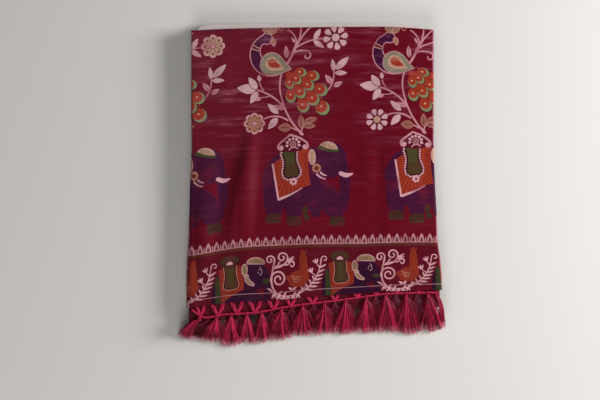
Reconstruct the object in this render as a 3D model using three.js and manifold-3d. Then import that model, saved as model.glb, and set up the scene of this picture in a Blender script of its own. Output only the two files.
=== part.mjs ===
// A printed sari, folded flat round a stiff white card. Its pallu, the decorated end, lies on top, with the
// hem and the tasselled fringe over the bottom fold of the plain body.
// Millimetres, +Z up. The origin is the middle of the flat face that rests on the table, +X runs across the
// folded sari, and +Y from the fringe to the top fold.
import * as THREE from "three";
import { mergeVertices } from "three/addons/utils/BufferGeometryUtils.js";
import Module from "manifold-3d";

const wasm = await Module();
wasm.setup();

const group = new THREE.Group();

// ---- Driving dimensions ----

const sariWidth = 1170;
const foldsAcross = 4;
const halfWidth = sariWidth / foldsAcross / 2;
const gap = 0.3;
const clothWall = 1.3;

// The layers, from the table up. Each lies on the one before it.
const underStack = { bottom: 0, layers: 4, layer: 2.25 };
const card = { bottom: topOf(underStack) + gap, wall: 1.5 };
const overStack = { bottom: card.bottom + card.wall + gap, layers: 2, layer: 1.95 };
const bodyPanel = { bottom: topOf(overStack) + gap, wall: clothWall };
const palluInner = { bottom: bodyPanel.bottom + bodyPanel.wall + gap, wall: clothWall };
const palluFront = { bottom: palluInner.bottom + palluInner.wall + gap, wall: clothWall };
const bodyTop = bodyPanel.bottom + bodyPanel.wall;

function topOf(stack) {
  return stack.bottom + stack.layers * stack.layer;
}

const colours = {
  maroon: 0x68203a,
  maroonDark: 0x4d1424,
  tassel: 0x8a2345,
  card: 0xd8d2ca,
};

// ---- Outline ----

// How far each side fold stands out past half the folded width, from the top of the panel to its fringe.
const sideFolds = [
  { y: -186, left: 7.2, right: 10.1 },
  { y: -140, left: 7.2, right: 10.1 },
  { y: -109, left: 6.6, right: 8.2 },
  { y: -84, left: 4.8, right: 4.8 },
  { y: -52, left: 3.6, right: 3.4 },
  { y: -10, left: 2.3, right: 1.1 },
  { y: 27, left: 0.7, right: 0.1 },
  { y: 60, left: 1.1, right: -0.2 },
  { y: 176, left: 1.2, right: -0.2 },
];

// The lines that cross the folded sari, from its left side to its right.
const crossLines = [
  { x: -154, topFold: 170.8, hem: -164.6, bodyFold: -186.4 },
  { x: -100, topFold: 173.3, hem: -157.2, bodyFold: -177.6 },
  { x: -50, topFold: 174.4, hem: -154.6, bodyFold: -171.9 },
  { x: 0, topFold: 175.1, hem: -149.9, bodyFold: -168.1 },
  { x: 50, topFold: 175.6, hem: -146.4, bodyFold: -165.7 },
  { x: 100, topFold: 175.4, hem: -143.5, bodyFold: -164.0 },
  { x: 157, topFold: 171.5, hem: -142.2, bodyFold: -163.1 },
];

// The soft ridges of the pallu's top layer. Each follows a slanted line, and fades out at its ends.
const ridges = [
  { x: -77, slant: 0.05, yFrom: -122, yTo: 58, halfWidth: 12, height: 3.0 },
  { x: -121, slant: 0.06, yFrom: -140, yTo: 46, halfWidth: 19, height: 2.2 },
  { x: -20, slant: -0.04, yFrom: -110, yTo: 150, halfWidth: 42, height: 1.3 },
  { x: 66, slant: 0.05, yFrom: -60, yTo: 60, halfWidth: 11, height: 1.4 },
  { x: 105, slant: -0.03, yFrom: -125, yTo: 140, halfWidth: 34, height: 1.7 },
  { x: -108, slant: 0.02, yFrom: 60, yTo: 165, halfWidth: 14, height: 1.1 },
  { x: 8, slant: 0.12, yFrom: -150, yTo: -60, halfWidth: 16, height: 1.2 },
];

const crestPower = 1.5;

// A smooth line through the rows of a table, level past its ends.
function lineThrough(rows, along, value) {
  const slopeAt = rows.map((row, i) => {
    const before = rows[Math.max(i - 1, 0)];
    const after = rows[Math.min(i + 1, rows.length - 1)];
    return (after[value] - before[value]) / (after[along] - before[along]);
  });
  return (place) => {
    const at = THREE.MathUtils.clamp(place, rows[0][along], rows[rows.length - 1][along]);
    const next = Math.max(1, rows.findIndex((row) => row[along] >= at));
    const [a, b] = [rows[next - 1], rows[next]];
    const span = b[along] - a[along];
    const t = (at - a[along]) / span;
    const rise = b[value] - a[value];
    const bend = (slopeAt[next - 1] * span - rise) * (1 - t) + (rise - slopeAt[next] * span) * t;
    return a[value] + rise * t + bend * t * (1 - t);
  };
}

const leftBulge = lineThrough(sideFolds, "y", "left");
const rightBulge = lineThrough(sideFolds, "y", "right");
const topFold = lineThrough(crossLines, "x", "topFold");
const hem = lineThrough(crossLines, "x", "hem");
const bodyFold = lineThrough(crossLines, "x", "bodyFold");

const leftEdge = (y) => -halfWidth - leftBulge(y);
const rightEdge = (y) => halfWidth + rightBulge(y);

function relief(x, y) {
  return ridges.reduce((height, ridge) => {
    const away = (x - ridge.x - ridge.slant * y) / ridge.halfWidth;
    const along = (y - ridge.yFrom) / (ridge.yTo - ridge.yFrom);
    const inside = Math.abs(away) < 1 && along > 0 && along < 1;
    const crest = Math.cos((away * Math.PI) / 2) * Math.sin(along * Math.PI);
    return inside ? Math.max(height, ridge.height * crest ** crestPower) : height;
  }, 0);
}

// ---- Solids from grids and rings of points ----

// A closed body from two faces of points, rows by columns, joined all round their edges.
function wallFromFaces(outer, inner) {
  const rows = outer.length;
  const columns = outer[0].length;
  const points = [...outer.flat(), ...inner.flat()];
  const at = (row, column, face) => face * rows * columns + row * columns + column;
  const faces = [];
  const quad = (a, b, c, d) => faces.push(a, b, c, a, c, d);
  for (let row = 0; row < rows - 1; row += 1) {
    for (let column = 0; column < columns - 1; column += 1) {
      const corner = (face) => [
        at(row, column, face),
        at(row, column + 1, face),
        at(row + 1, column + 1, face),
        at(row + 1, column, face),
      ];
      quad(...corner(0));
      quad(...corner(1).reverse());
    }
  }
  for (let column = 0; column < columns - 1; column += 1) {
    const last = rows - 1;
    quad(at(0, column + 1, 0), at(0, column, 0), at(0, column, 1), at(0, column + 1, 1));
    quad(at(last, column, 0), at(last, column + 1, 0), at(last, column + 1, 1), at(last, column, 1));
  }
  for (let row = 0; row < rows - 1; row += 1) {
    const last = columns - 1;
    quad(at(row, 0, 0), at(row + 1, 0, 0), at(row + 1, 0, 1), at(row, 0, 1));
    quad(at(row + 1, last, 0), at(row, last, 0), at(row, last, 1), at(row + 1, last, 1));
  }
  return geometryFrom(points, faces);
}

// A closed body through rings of points that run anticlockwise, each end capped round its middle.
function loftThroughRings(rings) {
  const points = [];
  const starts = rings.map((ring) => points.push(...ring) - ring.length);
  const faces = [];
  for (let r = 0; r < rings.length - 1; r += 1) {
    const count = rings[r].length;
    for (let i = 0; i < count; i += 1) {
      const next = (i + 1) % count;
      const [a, b] = [starts[r] + i, starts[r] + next];
      faces.push(a, b, starts[r + 1] + next, a, starts[r + 1] + next, starts[r + 1] + i);
    }
  }
  const cap = (ring, start, flip) => {
    if (ring.length === 3) {
      faces.push(start, start + (flip ? 2 : 1), start + (flip ? 1 : 2));
      return;
    }
    const middle = ring.reduce((sum, point) => sum.add(point), new THREE.Vector3());
    points.push(middle.divideScalar(ring.length));
    ring.forEach((_, i) => {
      const next = start + ((i + 1) % ring.length);
      faces.push(points.length - 1, flip ? next : start + i, flip ? start + i : next);
    });
  };
  cap(rings[0], starts[0], true);
  cap(rings[rings.length - 1], starts[rings.length - 1], false);
  return geometryFrom(points, faces);
}

function geometryFrom(points, faces) {
  const geometry = new THREE.BufferGeometry();
  geometry.setAttribute("position", new THREE.Float32BufferAttribute(points.flatMap((p) => p.toArray()), 3));
  geometry.setIndex(faces);
  return geometry;
}

function solidFrom(geometry) {
  const bare = geometry.clone();
  bare.deleteAttribute("normal");
  bare.deleteAttribute("uv");
  const merged = mergeVertices(bare, 1e-4);
  const mesh = new wasm.Mesh({
    numProp: 3,
    vertProperties: new Float32Array(merged.attributes.position.array),
    triVerts: new Uint32Array(merged.index.array),
  });
  return new wasm.Manifold(mesh);
}

// One body from geometries that run into each other.
function joined(geometries) {
  const solid = geometries.map(solidFrom).reduce((sum, part) => sum.add(part));
  const mesh = solid.getMesh();
  const geometry = new THREE.BufferGeometry();
  geometry.setAttribute("position", new THREE.BufferAttribute(mesh.vertProperties, 3));
  geometry.setIndex(new THREE.BufferAttribute(mesh.triVerts, 1));
  return geometry;
}

function addPiece(name, geometry, colour, roughness) {
  geometry.computeVertexNormals();
  const material = new THREE.MeshStandardMaterial({ color: colour, roughness, metalness: 0 });
  const mesh = new THREE.Mesh(geometry, material);
  mesh.name = name;
  group.add(mesh);
}

// ---- Panels, as walls with rolled edges ----

const rollStart = THREE.MathUtils.degToRad(-50);
const rollEnd = THREE.MathUtils.degToRad(90);

// The stations across or along a panel: the turn of a rolled edge, the flat between, and the other roll.
function stations(rollSteps, flatSteps, rolledFirst, rolledLast) {
  const turns = Array.from({ length: rollSteps }, (_, i) => (
    THREE.MathUtils.lerp(rollStart, rollEnd, i / rollSteps)
  ));
  const first = rolledFirst ? turns.map((turn) => ({ share: 0, turn, roll: "first" })) : [];
  const last = rolledLast ? turns.map((turn) => ({ share: 1, turn, roll: "last" })).reverse() : [];
  const flat = Array.from({ length: flatSteps + 1 }, (_, i) => ({
    share: i / flatSteps,
    turn: rollEnd,
    roll: i < flatSteps / 2 ? "first" : "last",
  }));
  return [...first, ...flat, ...last];
}

// An edge that isn't rolled.
const noRoll = null;

// How far a point of a rolled edge lies in from the fold, and down from the flat of the panel.
function rollAt(roll, turn, setIn) {
  if (roll === noRoll) {
    return { inward: 0, down: 0 };
  }
  return {
    inward: setIn + (roll.reach - setIn) * (1 - Math.cos(turn)),
    down: (roll.drop - setIn) * (1 - Math.sin(turn)),
  };
}

// One point of a panel. setIn is 0 on the outer face, and the wall on the inner one.
function panelPoint(panel, across, along, setIn) {
  const nominal = THREE.MathUtils.lerp(-halfWidth, halfWidth, across.share);
  const nearRoll = rollAt(panel.near.roll, along.roll === "first" ? along.turn : rollEnd, setIn);
  const farRoll = rollAt(panel.far.roll, along.roll === "last" ? along.turn : rollEnd, setIn);
  const near = panel.near.line(nominal) + nearRoll.inward;
  const far = panel.far.line(nominal) - farRoll.inward;
  const y = THREE.MathUtils.lerp(near, far, along.share);
  const leftRoll = rollAt(panel.left.roll(y), across.roll === "first" ? across.turn : rollEnd, setIn);
  const rightRoll = rollAt(panel.right.roll(y), across.roll === "last" ? across.turn : rollEnd, setIn);
  const left = leftEdge(y) + panel.left.inset + leftRoll.inward;
  const right = rightEdge(y) - panel.right.inset - rightRoll.inward;
  const x = THREE.MathUtils.lerp(left, right, across.share);
  const sideDrop = across.roll === "first" ? leftRoll.down : rightRoll.down;
  const endDrop = along.roll === "first" ? nearRoll.down : farRoll.down;
  const lift = panel.relief ? panel.relief(x, y) : 0;
  return new THREE.Vector3(x, y, panel.top - setIn + lift - Math.hypot(sideDrop, endDrop));
}

function panelWall(panel, across, along, wall) {
  const face = (setIn) => along.map((b) => across.map((a) => panelPoint(panel, a, b, setIn)));
  return wallFromFaces(face(0), face(wall));
}


function addPalluFront() {
  const rollRows = [
    { y: -165, leftReach: 8.6, leftDrop: 5.5, rightReach: 4.2, rightDrop: 3.0 },
    { y: -110, leftReach: 8.2, leftDrop: 5.3, rightReach: 3.7, rightDrop: 2.9 },
    { y: -40, leftReach: 5.6, leftDrop: 3.9, rightReach: 2.7, rightDrop: 2.5 },
    { y: 30, leftReach: 3.0, leftDrop: 2.6, rightReach: 2.4, rightDrop: 2.4 },
    { y: 176, leftReach: 2.8, leftDrop: 2.5, rightReach: 2.4, rightDrop: 2.4 },
  ];
  const column = (name) => lineThrough(rollRows, "y", name);
  const [leftReach, leftDrop] = [column("leftReach"), column("leftDrop")];
  const [rightReach, rightDrop] = [column("rightReach"), column("rightDrop")];
  const panel = {
    top: palluFront.bottom + palluFront.wall,
    left: { inset: 0, roll: (y) => ({ reach: leftReach(y), drop: leftDrop(y) }) },
    right: { inset: 0, roll: (y) => ({ reach: rightReach(y), drop: rightDrop(y) }) },
    near: { line: hem, roll: noRoll },
    far: { line: topFold, roll: { reach: 2.5, drop: 2.6 } },
    relief,
  };
  const across = stations(4, 22, true, true);
  const along = stations(4, 17, false, true);
  addPiece("pallu_front", panelWall(panel, across, along, palluFront.wall), colours.maroon, 0.55);
}

function addBodyPanel() {
  const sideRoll = { reach: 3, drop: 2.1 };
  const panel = {
    top: bodyTop,
    left: { inset: 3, roll: () => sideRoll },
    right: { inset: 3, roll: () => sideRoll },
    near: { line: bodyFold, roll: { reach: 3, drop: 2.4 } },
    far: { line: (x) => topFold(x) - 3, roll: noRoll },
  };
  const across = stations(3, 12, true, true);
  const along = stations(4, 6, true, false);
  addPiece("body_panel", panelWall(panel, across, along, bodyPanel.wall), colours.maroonDark, 0.6);
}

// ---- Hidden layers, as solids with a bulge for each fold ----

const roundedSquare = new THREE.Shape();
const corner = 0.05; // share of half a side that each corner rounds
roundedSquare.moveTo(-1 + corner, -1);
roundedSquare.lineTo(1 - corner, -1);
roundedSquare.quadraticCurveTo(1, -1, 1, -1 + corner);
roundedSquare.lineTo(1, 1 - corner);
roundedSquare.quadraticCurveTo(1, 1, 1 - corner, 1);
roundedSquare.lineTo(-1 + corner, 1);
roundedSquare.quadraticCurveTo(-1, 1, -1, 1 - corner);
roundedSquare.lineTo(-1, -1 + corner);
roundedSquare.quadraticCurveTo(-1, -1, -1 + corner, -1);

const sidePoints = 9;

// The folded sari's outline at a height, with each of its four sides set in by its own distance.
function outlineRing(z, inset) {
  const outline = roundedSquare.getPoints(2).slice(0, -1);
  const spaced = outline.flatMap((point, i) => {
    const next = outline[(i + 1) % outline.length];
    const steps = point.distanceTo(next) > 1 ? sidePoints : 1;
    return Array.from({ length: steps }, (_, step) => point.clone().lerp(next, step / steps));
  });
  return spaced.map((point) => {
    const nominal = point.x * halfWidth;
    const near = inset.nearLine(nominal) + inset.near;
    const far = topFold(nominal) - inset.far;
    const y = THREE.MathUtils.lerp(near, far, (point.y + 1) / 2);
    const left = leftEdge(y) + inset.left;
    const right = rightEdge(y) - inset.right;
    return new THREE.Vector3(THREE.MathUtils.lerp(left, right, (point.x + 1) / 2), y, z);
  });
}

// Each layer swells from its seam to its middle. A layer's own step sets it in a little more.
function layeredStack(stack, inset, steps, nearLine) {
  const profile = [
    { share: 0, pull: 1.3 },
    { share: 0.2, pull: 0.35 },
    { share: 0.55, pull: 0 },
    { share: 0.85, pull: 0.4 },
  ];
  const rings = steps.flatMap((step, i) => profile.map((stage) => ({
    z: stack.bottom + (i + stage.share) * stack.layer,
    pull: stage.pull + step,
  })));
  rings.push({ z: topOf(stack), pull: profile[0].pull + steps[steps.length - 1] });
  return loftThroughRings(rings.map(({ z, pull }) => outlineRing(z, {
    nearLine,
    left: inset.left + pull,
    right: inset.right + pull,
    near: inset.near + pull,
    far: inset.far + pull,
  })));
}

function addStacks() {
  const under = layeredStack(
    underStack,
    { left: 1.2, right: 1.2, near: 0.9, far: 0.5 },
    [0.7, 0, 1.1, 0.3],
    bodyFold,
  );
  addPiece("under_stack", under, colours.maroonDark, 0.65);
  const over = layeredStack(overStack, { left: 5.2, right: 5.2, near: 2.8, far: 2.6 }, [0, 0.5], bodyFold);
  addPiece("over_stack", over, colours.maroonDark, 0.65);
}

function addPalluInner() {
  const inset = { left: 7.8, right: 4, near: 3, far: 3 };
  const pulledIn = (by) => ({
    nearLine: hem,
    left: inset.left + by,
    right: inset.right + by,
    near: inset.near + by,
    far: inset.far + by,
  });
  const bottom = palluInner.bottom;
  const top = bottom + palluInner.wall;
  const rings = [
    outlineRing(bottom, pulledIn(0.5)),
    outlineRing((bottom + top) / 2, pulledIn(0)),
    outlineRing(top, pulledIn(0.5)),
  ];
  addPiece("pallu_inner", loftThroughRings(rings), colours.maroon, 0.6);
}

// ---- The card that the sari is folded round ----

// Its far corners are long, flat rounds, and its near ones are cut off a little.
function addCard() {
  const edge = { left: -140, right: 134, near: -152, far: 179.4 };
  const farCorner = { left: 30, right: 24, drop: 8 };
  const nearCorner = 4;
  const outline = new THREE.Shape();
  outline.moveTo(edge.left + nearCorner, edge.near);
  outline.lineTo(edge.right - nearCorner, edge.near);
  outline.lineTo(edge.right, edge.near + nearCorner);
  outline.lineTo(edge.right, edge.far - farCorner.drop);
  outline.quadraticCurveTo(edge.right, edge.far, edge.right - farCorner.right, edge.far);
  outline.lineTo(edge.left + farCorner.left, edge.far);
  outline.quadraticCurveTo(edge.left, edge.far, edge.left, edge.far - farCorner.drop);
  outline.lineTo(edge.left, edge.near + nearCorner);
  outline.closePath();
  const options = { depth: card.wall, bevelEnabled: false, curveSegments: 8 };
  const geometry = new THREE.ExtrudeGeometry(outline, options);
  geometry.translate(0, 0, card.bottom);
  addPiece("card", geometry, colours.card, 0.8);
}

// ---- Fringe: warp bundles in pairs, the knotted cord, and the tassels ----

// The cord's way along the hem, from left to right.
const cordRoute = [
  { x: -146, y: -166.4 },
  { x: -141, y: -170.4 },
  { x: -135, y: -174.6 },
  { x: -126, y: -175.3 },
  { x: -109, y: -172.2 },
  { x: -82, y: -170.6 },
  { x: -60, y: -168.2 },
  { x: -39, y: -164 },
  { x: -14, y: -160 },
  { x: 9, y: -157.4 },
  { x: 46, y: -152.7 },
  { x: 83, y: -147.6 },
  { x: 112, y: -146.1 },
  { x: 151, y: -145.4 },
];
const cordAt = lineThrough(cordRoute, "x", "y");
const cord = { radius: 1.2, sides: 6, steps: 46 };
const cordZ = bodyTop + gap + cord.radius;

// Where each pair of warp bundles meets on the cord, and how far apart the pair leaves the hem.
const bundlePairs = [
  { x: -136, spread: 5 },
  { x: -115, spread: 8 },
  { x: -92, spread: 7.5 },
  { x: -70, spread: 8 },
  { x: -48, spread: 7 },
  { x: -27, spread: 6 },
  { x: -1, spread: 6.5 },
  { x: 26, spread: 5 },
  { x: 53, spread: 4 },
  { x: 76, spread: 3 },
  { x: 101, spread: 3 },
  { x: 127, spread: 3 },
];

// The tassels on the cord: the head's place, where the tips spread to, and how soon the strands sweep there.
const tassels = [
  { head: -137, tip: -153, reach: -203, spread: 5.5, sweep: 0.5 },
  { head: -116.5, tip: -126, reach: -206, spread: 11.5, sweep: 0.9 },
  { head: -99, tip: -100, reach: -211.5, spread: 10.5, sweep: 1 },
  { head: -80, tip: -79, reach: -208, spread: 8, sweep: 1 },
  { head: -62, tip: -62, reach: -207, spread: 6.5, sweep: 1 },
  { head: -38, tip: -42, reach: -204, spread: 11.5, sweep: 1 },
  { head: -12.5, tip: -15, reach: -199, spread: 12, sweep: 1 },
  { head: 14, tip: 12, reach: -197.5, spread: 11.5, sweep: 1 },
  { head: 39.5, tip: 38.5, reach: -197, spread: 11, sweep: 1 },
  { head: 64.5, tip: 64, reach: -195.5, spread: 11, sweep: 1 },
  { head: 88, tip: 90.5, reach: -194.5, spread: 11, sweep: 1 },
  { head: 112.5, tip: 117, reach: -197, spread: 12, sweep: 1 },
  { head: 139, tip: 143.5, reach: -194, spread: 11, sweep: 1 },
];

const bundle = { halfEnd: 0.6, halfMiddle: 1.4, thick: 1.2, tuck: 1.4, meet: 0.5 };
const lock = { fill: 0.43, tipFill: 0.3, rise: 0.75, drop: 0.35, rootHalf: 3.4, level: 1.5 };
const lockCover = 0.15;
const head = { radius: 2.1, length: 5.2 };
const skirt = {
  length: 7.5,
  halfNear: 1.6,
  halfFar: 4.3,
  thick: lock.level + lock.rise + lock.drop + 2 * lockCover,
};
const frontLocks = {
  upper: 6,
  lower: 5,
  z: bodyTop + 2.12,
  tipZ: 2.3,
  fallPast: 0.5,
  fallAfter: 7,
  arc: 5,
  uneven: 1.5,
  tuck: 1.5,
};
const underLocks = {
  count: 4,
  z: bodyTop + gap + lock.drop,
  tipZ: 1.3,
  fallPast: 1.8,
  fallAfter: 3.6,
  shorter: 6,
  spread: 4.6,
  arc: 0,
  uneven: 2,
  tuck: 1,
};
const underStrip = { half: 2.7, length: 3.2, thick: 1.1 };

// A lock of strands: three sides, its flat one down, as wide at each point of its path as it has room.
function lockAlong(path, halfWidths) {
  return loftThroughRings(path.map((point, i) => [
    new THREE.Vector3(point.x - halfWidths[i], point.y, point.z - lock.drop),
    new THREE.Vector3(point.x + halfWidths[i], point.y, point.z - lock.drop),
    new THREE.Vector3(point.x, point.y, point.z + lock.rise),
  ]));
}

// A row of locks side by side, spread from their roots to their tips. Each lies level to where it starts to
// fall past the fold, then goes down to the table.
function lockRow(row) {
  const fallShares = [0, 0.3, 0.62, 1];
  return row.sides.map((side, i) => {
    const tipY = row.reach + row.arc * side ** 2 + (i % 2) * row.uneven;
    const ys = [row.rootY, ...fallShares.map((share) => THREE.MathUtils.lerp(row.fallY, tipY, share))];
    const shares = ys.map((y) => (row.rootY - y) / (row.rootY - tipY));
    const path = ys.map((y, at) => {
      const rootX = row.rootX + side * row.rootHalf;
      const tipX = row.tipX + side * row.spread;
      const fall = THREE.MathUtils.clamp((row.fallY - y) / (row.fallY - tipY), 0, 1);
      return new THREE.Vector3(
        THREE.MathUtils.lerp(rootX, tipX, shares[at] ** row.sweep),
        y,
        THREE.MathUtils.lerp(row.topZ, row.tipZ, THREE.MathUtils.smoothstep(fall, 0, 1)),
      );
    });
    const pitches = shares.map((share) => row.pitch * THREE.MathUtils.lerp(row.rootHalf, row.spread, share));
    const fills = pitches.map((_, at) => (at < pitches.length - 1 ? lock.fill : lock.tipFill));
    return lockAlong(path, pitches.map((pitch, at) => pitch * fills[at]));
  });
}

// Locks start to fall at the body panel's fold, but not before they are clear of their backing.
function fallStart(locks, x, backingEnd) {
  return Math.min(bodyFold(x) + locks.fallPast, backingEnd - locks.fallAfter);
}

// The tassel's head, bound below the cord, and the gathered root of its strands.
function tasselHead(x, y, z) {
  const profile = [
    new THREE.Vector2(0, 0),
    new THREE.Vector2(head.radius * 0.75, head.length * 0.12),
    new THREE.Vector2(head.radius, head.length * 0.5),
    new THREE.Vector2(head.radius * 0.8, head.length * 0.85),
    new THREE.Vector2(0, head.length),
  ];
  const bulb = new THREE.LatheGeometry(profile, 7);
  bulb.rotateX(Math.PI);
  bulb.translate(x, y, z);
  const ring = (half, at) => [
    new THREE.Vector3(x - half, at, z - skirt.thick / 2),
    new THREE.Vector3(x + half, at, z - skirt.thick / 2),
    new THREE.Vector3(x + half, at, z + skirt.thick / 2),
    new THREE.Vector3(x - half, at, z + skirt.thick / 2),
  ];
  const root = loftThroughRings([
    ring(skirt.halfNear, y - head.length / 2),
    ring(skirt.halfFar, y - head.length / 2 - skirt.length),
  ]);
  return [bulb, root];
}

function addTassels() {
  tassels.forEach((tassel, index) => {
    const y = cordAt(tassel.head) - cord.radius - gap;
    const z = frontLocks.z - lock.drop - lockCover + skirt.thick / 2;
    const rootY = y - head.length / 2 - skirt.length + frontLocks.tuck;
    const fallY = fallStart(frontLocks, tassel.head, y - head.length);
    const pitch = 2 / (frontLocks.upper - 1);
    const level = (count, lift, offset) => lockRow({
      sides: Array.from({ length: count }, (_, i) => (i + offset) * pitch - 1),
      rootX: tassel.head,
      rootY,
      rootHalf: lock.rootHalf,
      tipX: tassel.tip,
      spread: tassel.spread,
      pitch,
      reach: tassel.reach,
      arc: frontLocks.arc,
      uneven: frontLocks.uneven,
      fallY,
      topZ: frontLocks.z + lift,
      tipZ: frontLocks.tipZ + lift,
      sweep: tassel.sweep,
    });
    const pieces = [
      ...tasselHead(tassel.head, y, z),
      ...level(frontLocks.upper, lock.level, 0),
      ...level(frontLocks.lower, 0, 0.5),
    ];
    addPiece(`tassel_${String(index + 1).padStart(2, "0")}`, joined(pieces), colours.tassel, 0.45);
  });
}

// The tassels of the pallu's inner layers, which show between the front ones. Each number is the place in the
// row of the front tassel on its left.
const showBeside = [0, 2, 4, 5, 6, 7, 9, 10, 11];
const flyaway = { head: 150.2, tip: 160.5, reach: -187, spread: 2.6, sweep: 0.45 };

function addUnderTassels() {
  const between = showBeside.map((left) => ({
    head: (tassels[left].head + tassels[left + 1].head) / 2,
    tip: (tassels[left].tip + tassels[left + 1].tip) / 2,
    reach: Math.max(tassels[left].reach, tassels[left + 1].reach) + underLocks.shorter,
    spread: underLocks.spread,
    sweep: 1,
  }));
  [...between, flyaway].forEach((tassel, index) => {
    const y = cordAt(tassel.head) - cord.radius - 2 * gap;
    const z = bodyTop + gap + underStrip.thick / 2;
    const ring = (at) => [
      new THREE.Vector3(tassel.head - underStrip.half, at, z - underStrip.thick / 2),
      new THREE.Vector3(tassel.head + underStrip.half, at, z - underStrip.thick / 2),
      new THREE.Vector3(tassel.head + underStrip.half, at, z + underStrip.thick / 2),
      new THREE.Vector3(tassel.head - underStrip.half, at, z + underStrip.thick / 2),
    ];
    const backing = loftThroughRings([ring(y), ring(y - underStrip.length)]);
    const fallY = fallStart(underLocks, tassel.head, y - underStrip.length);
    const pitch = 2 / (underLocks.count - 1);
    const locks = lockRow({
      sides: Array.from({ length: underLocks.count }, (_, i) => i * pitch - 1),
      rootX: tassel.head,
      rootY: y - underStrip.length + underLocks.tuck,
      rootHalf: underStrip.half * 0.8,
      tipX: tassel.tip,
      spread: tassel.spread,
      pitch,
      reach: tassel.reach,
      arc: underLocks.arc,
      uneven: underLocks.uneven,
      fallY,
      topZ: underLocks.z,
      tipZ: underLocks.tipZ,
      sweep: tassel.sweep,
    });
    const name = `under_tassel_${String(index + 1).padStart(2, "0")}`;
    addPiece(name, joined([backing, ...locks]), colours.maroonDark, 0.5);
  });
}

// The cord, with the pairs of warp bundles that come from under the hem and are knotted to it.
function addFringeNet() {
  const section = new THREE.Shape(Array.from({ length: cord.sides }, (_, i) => {
    const turn = (i / cord.sides) * 2 * Math.PI;
    return new THREE.Vector2(cord.radius * Math.cos(turn), cord.radius * Math.sin(turn));
  }));
  const [start, end] = [cordRoute[0].x, cordRoute[cordRoute.length - 1].x];
  const route = new THREE.CatmullRomCurve3(Array.from({ length: cord.steps + 1 }, (_, i) => {
    const x = THREE.MathUtils.lerp(start, end, i / cord.steps);
    return new THREE.Vector3(x, cordAt(x), cordZ);
  }));
  const cordTube = new THREE.ExtrudeGeometry(section, { steps: cord.steps, extrudePath: route });
  const bundles = bundlePairs.flatMap(({ x, spread }) => [-1, 1].map((side) => {
    const leave = x + side * spread;
    const from = new THREE.Vector3(leave, hem(leave) + bundle.tuck, bodyTop + gap + bundle.thick / 2);
    const to = new THREE.Vector3(x + side * bundle.meet, cordAt(x), cordZ - bundle.thick / 4);
    return bundleBetween(from, to);
  }));
  addPiece("fringe_net", joined([cordTube, ...bundles]), colours.tassel, 0.5);
}

// One warp bundle: four sides, widest at its middle.
function bundleBetween(from, to) {
  const along = to.clone().sub(from);
  const across = new THREE.Vector3(-along.y, along.x, 0).normalize();
  const half = [bundle.halfEnd, bundle.halfMiddle, bundle.halfEnd];
  return loftThroughRings(half.map((width, i) => {
    const middle = from.clone().addScaledVector(along, i / (half.length - 1));
    return [[-1, 0], [0, -1], [1, 0], [0, 1]].map(([side, up]) => (
      middle.clone().addScaledVector(across, side * width).setZ(middle.z + (up * bundle.thick) / 2)
    ));
  }));
}

addStacks();
addCard();
addBodyPanel();
addPalluInner();
addPalluFront();
addFringeNet();
addTassels();
addUnderTassels();

export default group;
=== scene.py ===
import math

import bpy
import numpy as np
from mathutils.geometry import delaunay_2d_cdt
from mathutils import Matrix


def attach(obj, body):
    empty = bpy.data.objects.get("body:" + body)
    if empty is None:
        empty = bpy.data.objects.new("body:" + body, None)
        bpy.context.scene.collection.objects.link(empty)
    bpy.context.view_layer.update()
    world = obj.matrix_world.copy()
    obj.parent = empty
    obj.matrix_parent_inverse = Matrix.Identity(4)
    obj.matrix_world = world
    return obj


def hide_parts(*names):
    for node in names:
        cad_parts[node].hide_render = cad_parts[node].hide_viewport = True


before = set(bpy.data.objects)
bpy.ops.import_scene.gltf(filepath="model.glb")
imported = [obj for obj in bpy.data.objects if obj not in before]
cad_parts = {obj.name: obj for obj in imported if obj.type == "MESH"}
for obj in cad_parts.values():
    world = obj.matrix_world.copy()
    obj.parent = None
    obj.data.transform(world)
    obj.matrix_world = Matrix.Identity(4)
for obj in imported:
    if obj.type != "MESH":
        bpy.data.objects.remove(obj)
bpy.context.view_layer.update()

mm = 0.001
chance = np.random.default_rng(41)

# The camera looks straight down.
view = {
    "lens": 85,
    "sensor": 36,
    "x": -15.7,
    "y": -33.8,
    "height": 1730,
    "clipEnd": 20,  # metres
}


def linearFrom(hexColour):
    channels = [int(hexColour[i:i + 2], 16) / 255 for i in (0, 2, 4)]
    return [c / 12.92 if c <= 0.04045 else ((c + 0.055) / 1.055) ** 2.4 for c in channels]


def addCamera():
    data = bpy.data.cameras.new("overhead camera")
    data.lens = view["lens"]
    data.sensor_width = view["sensor"]
    data.clip_end = view["clipEnd"]
    holder = bpy.data.objects.new("overhead camera", data)
    holder.location = (view["x"] * mm, view["y"] * mm, view["height"] * mm)
    bpy.context.scene.collection.objects.link(holder)
    bpy.context.scene.camera = holder


# The floor and the lamps stand in metres.
studio = {
    "floorSize": 6.0,
    "floorDrop": 0.0004,
    "floorTone": "cdcac6",
    "floorRoughness": 0.9,
    "floorSpecular": 0.1,
    "sky": 0.13,
    "lamps": [
        {"name": "right window", "at": (1.6, 0.25, 0.72), "size": 0.8, "watts": 50},
        {"name": "left fill", "at": (-1.5, 0.5, 1.7), "size": 1.6, "watts": 5},
        {"name": "near wash", "at": (-0.2, -1.7, 1.3), "size": 1.3, "watts": 20},
    ],
}


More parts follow.
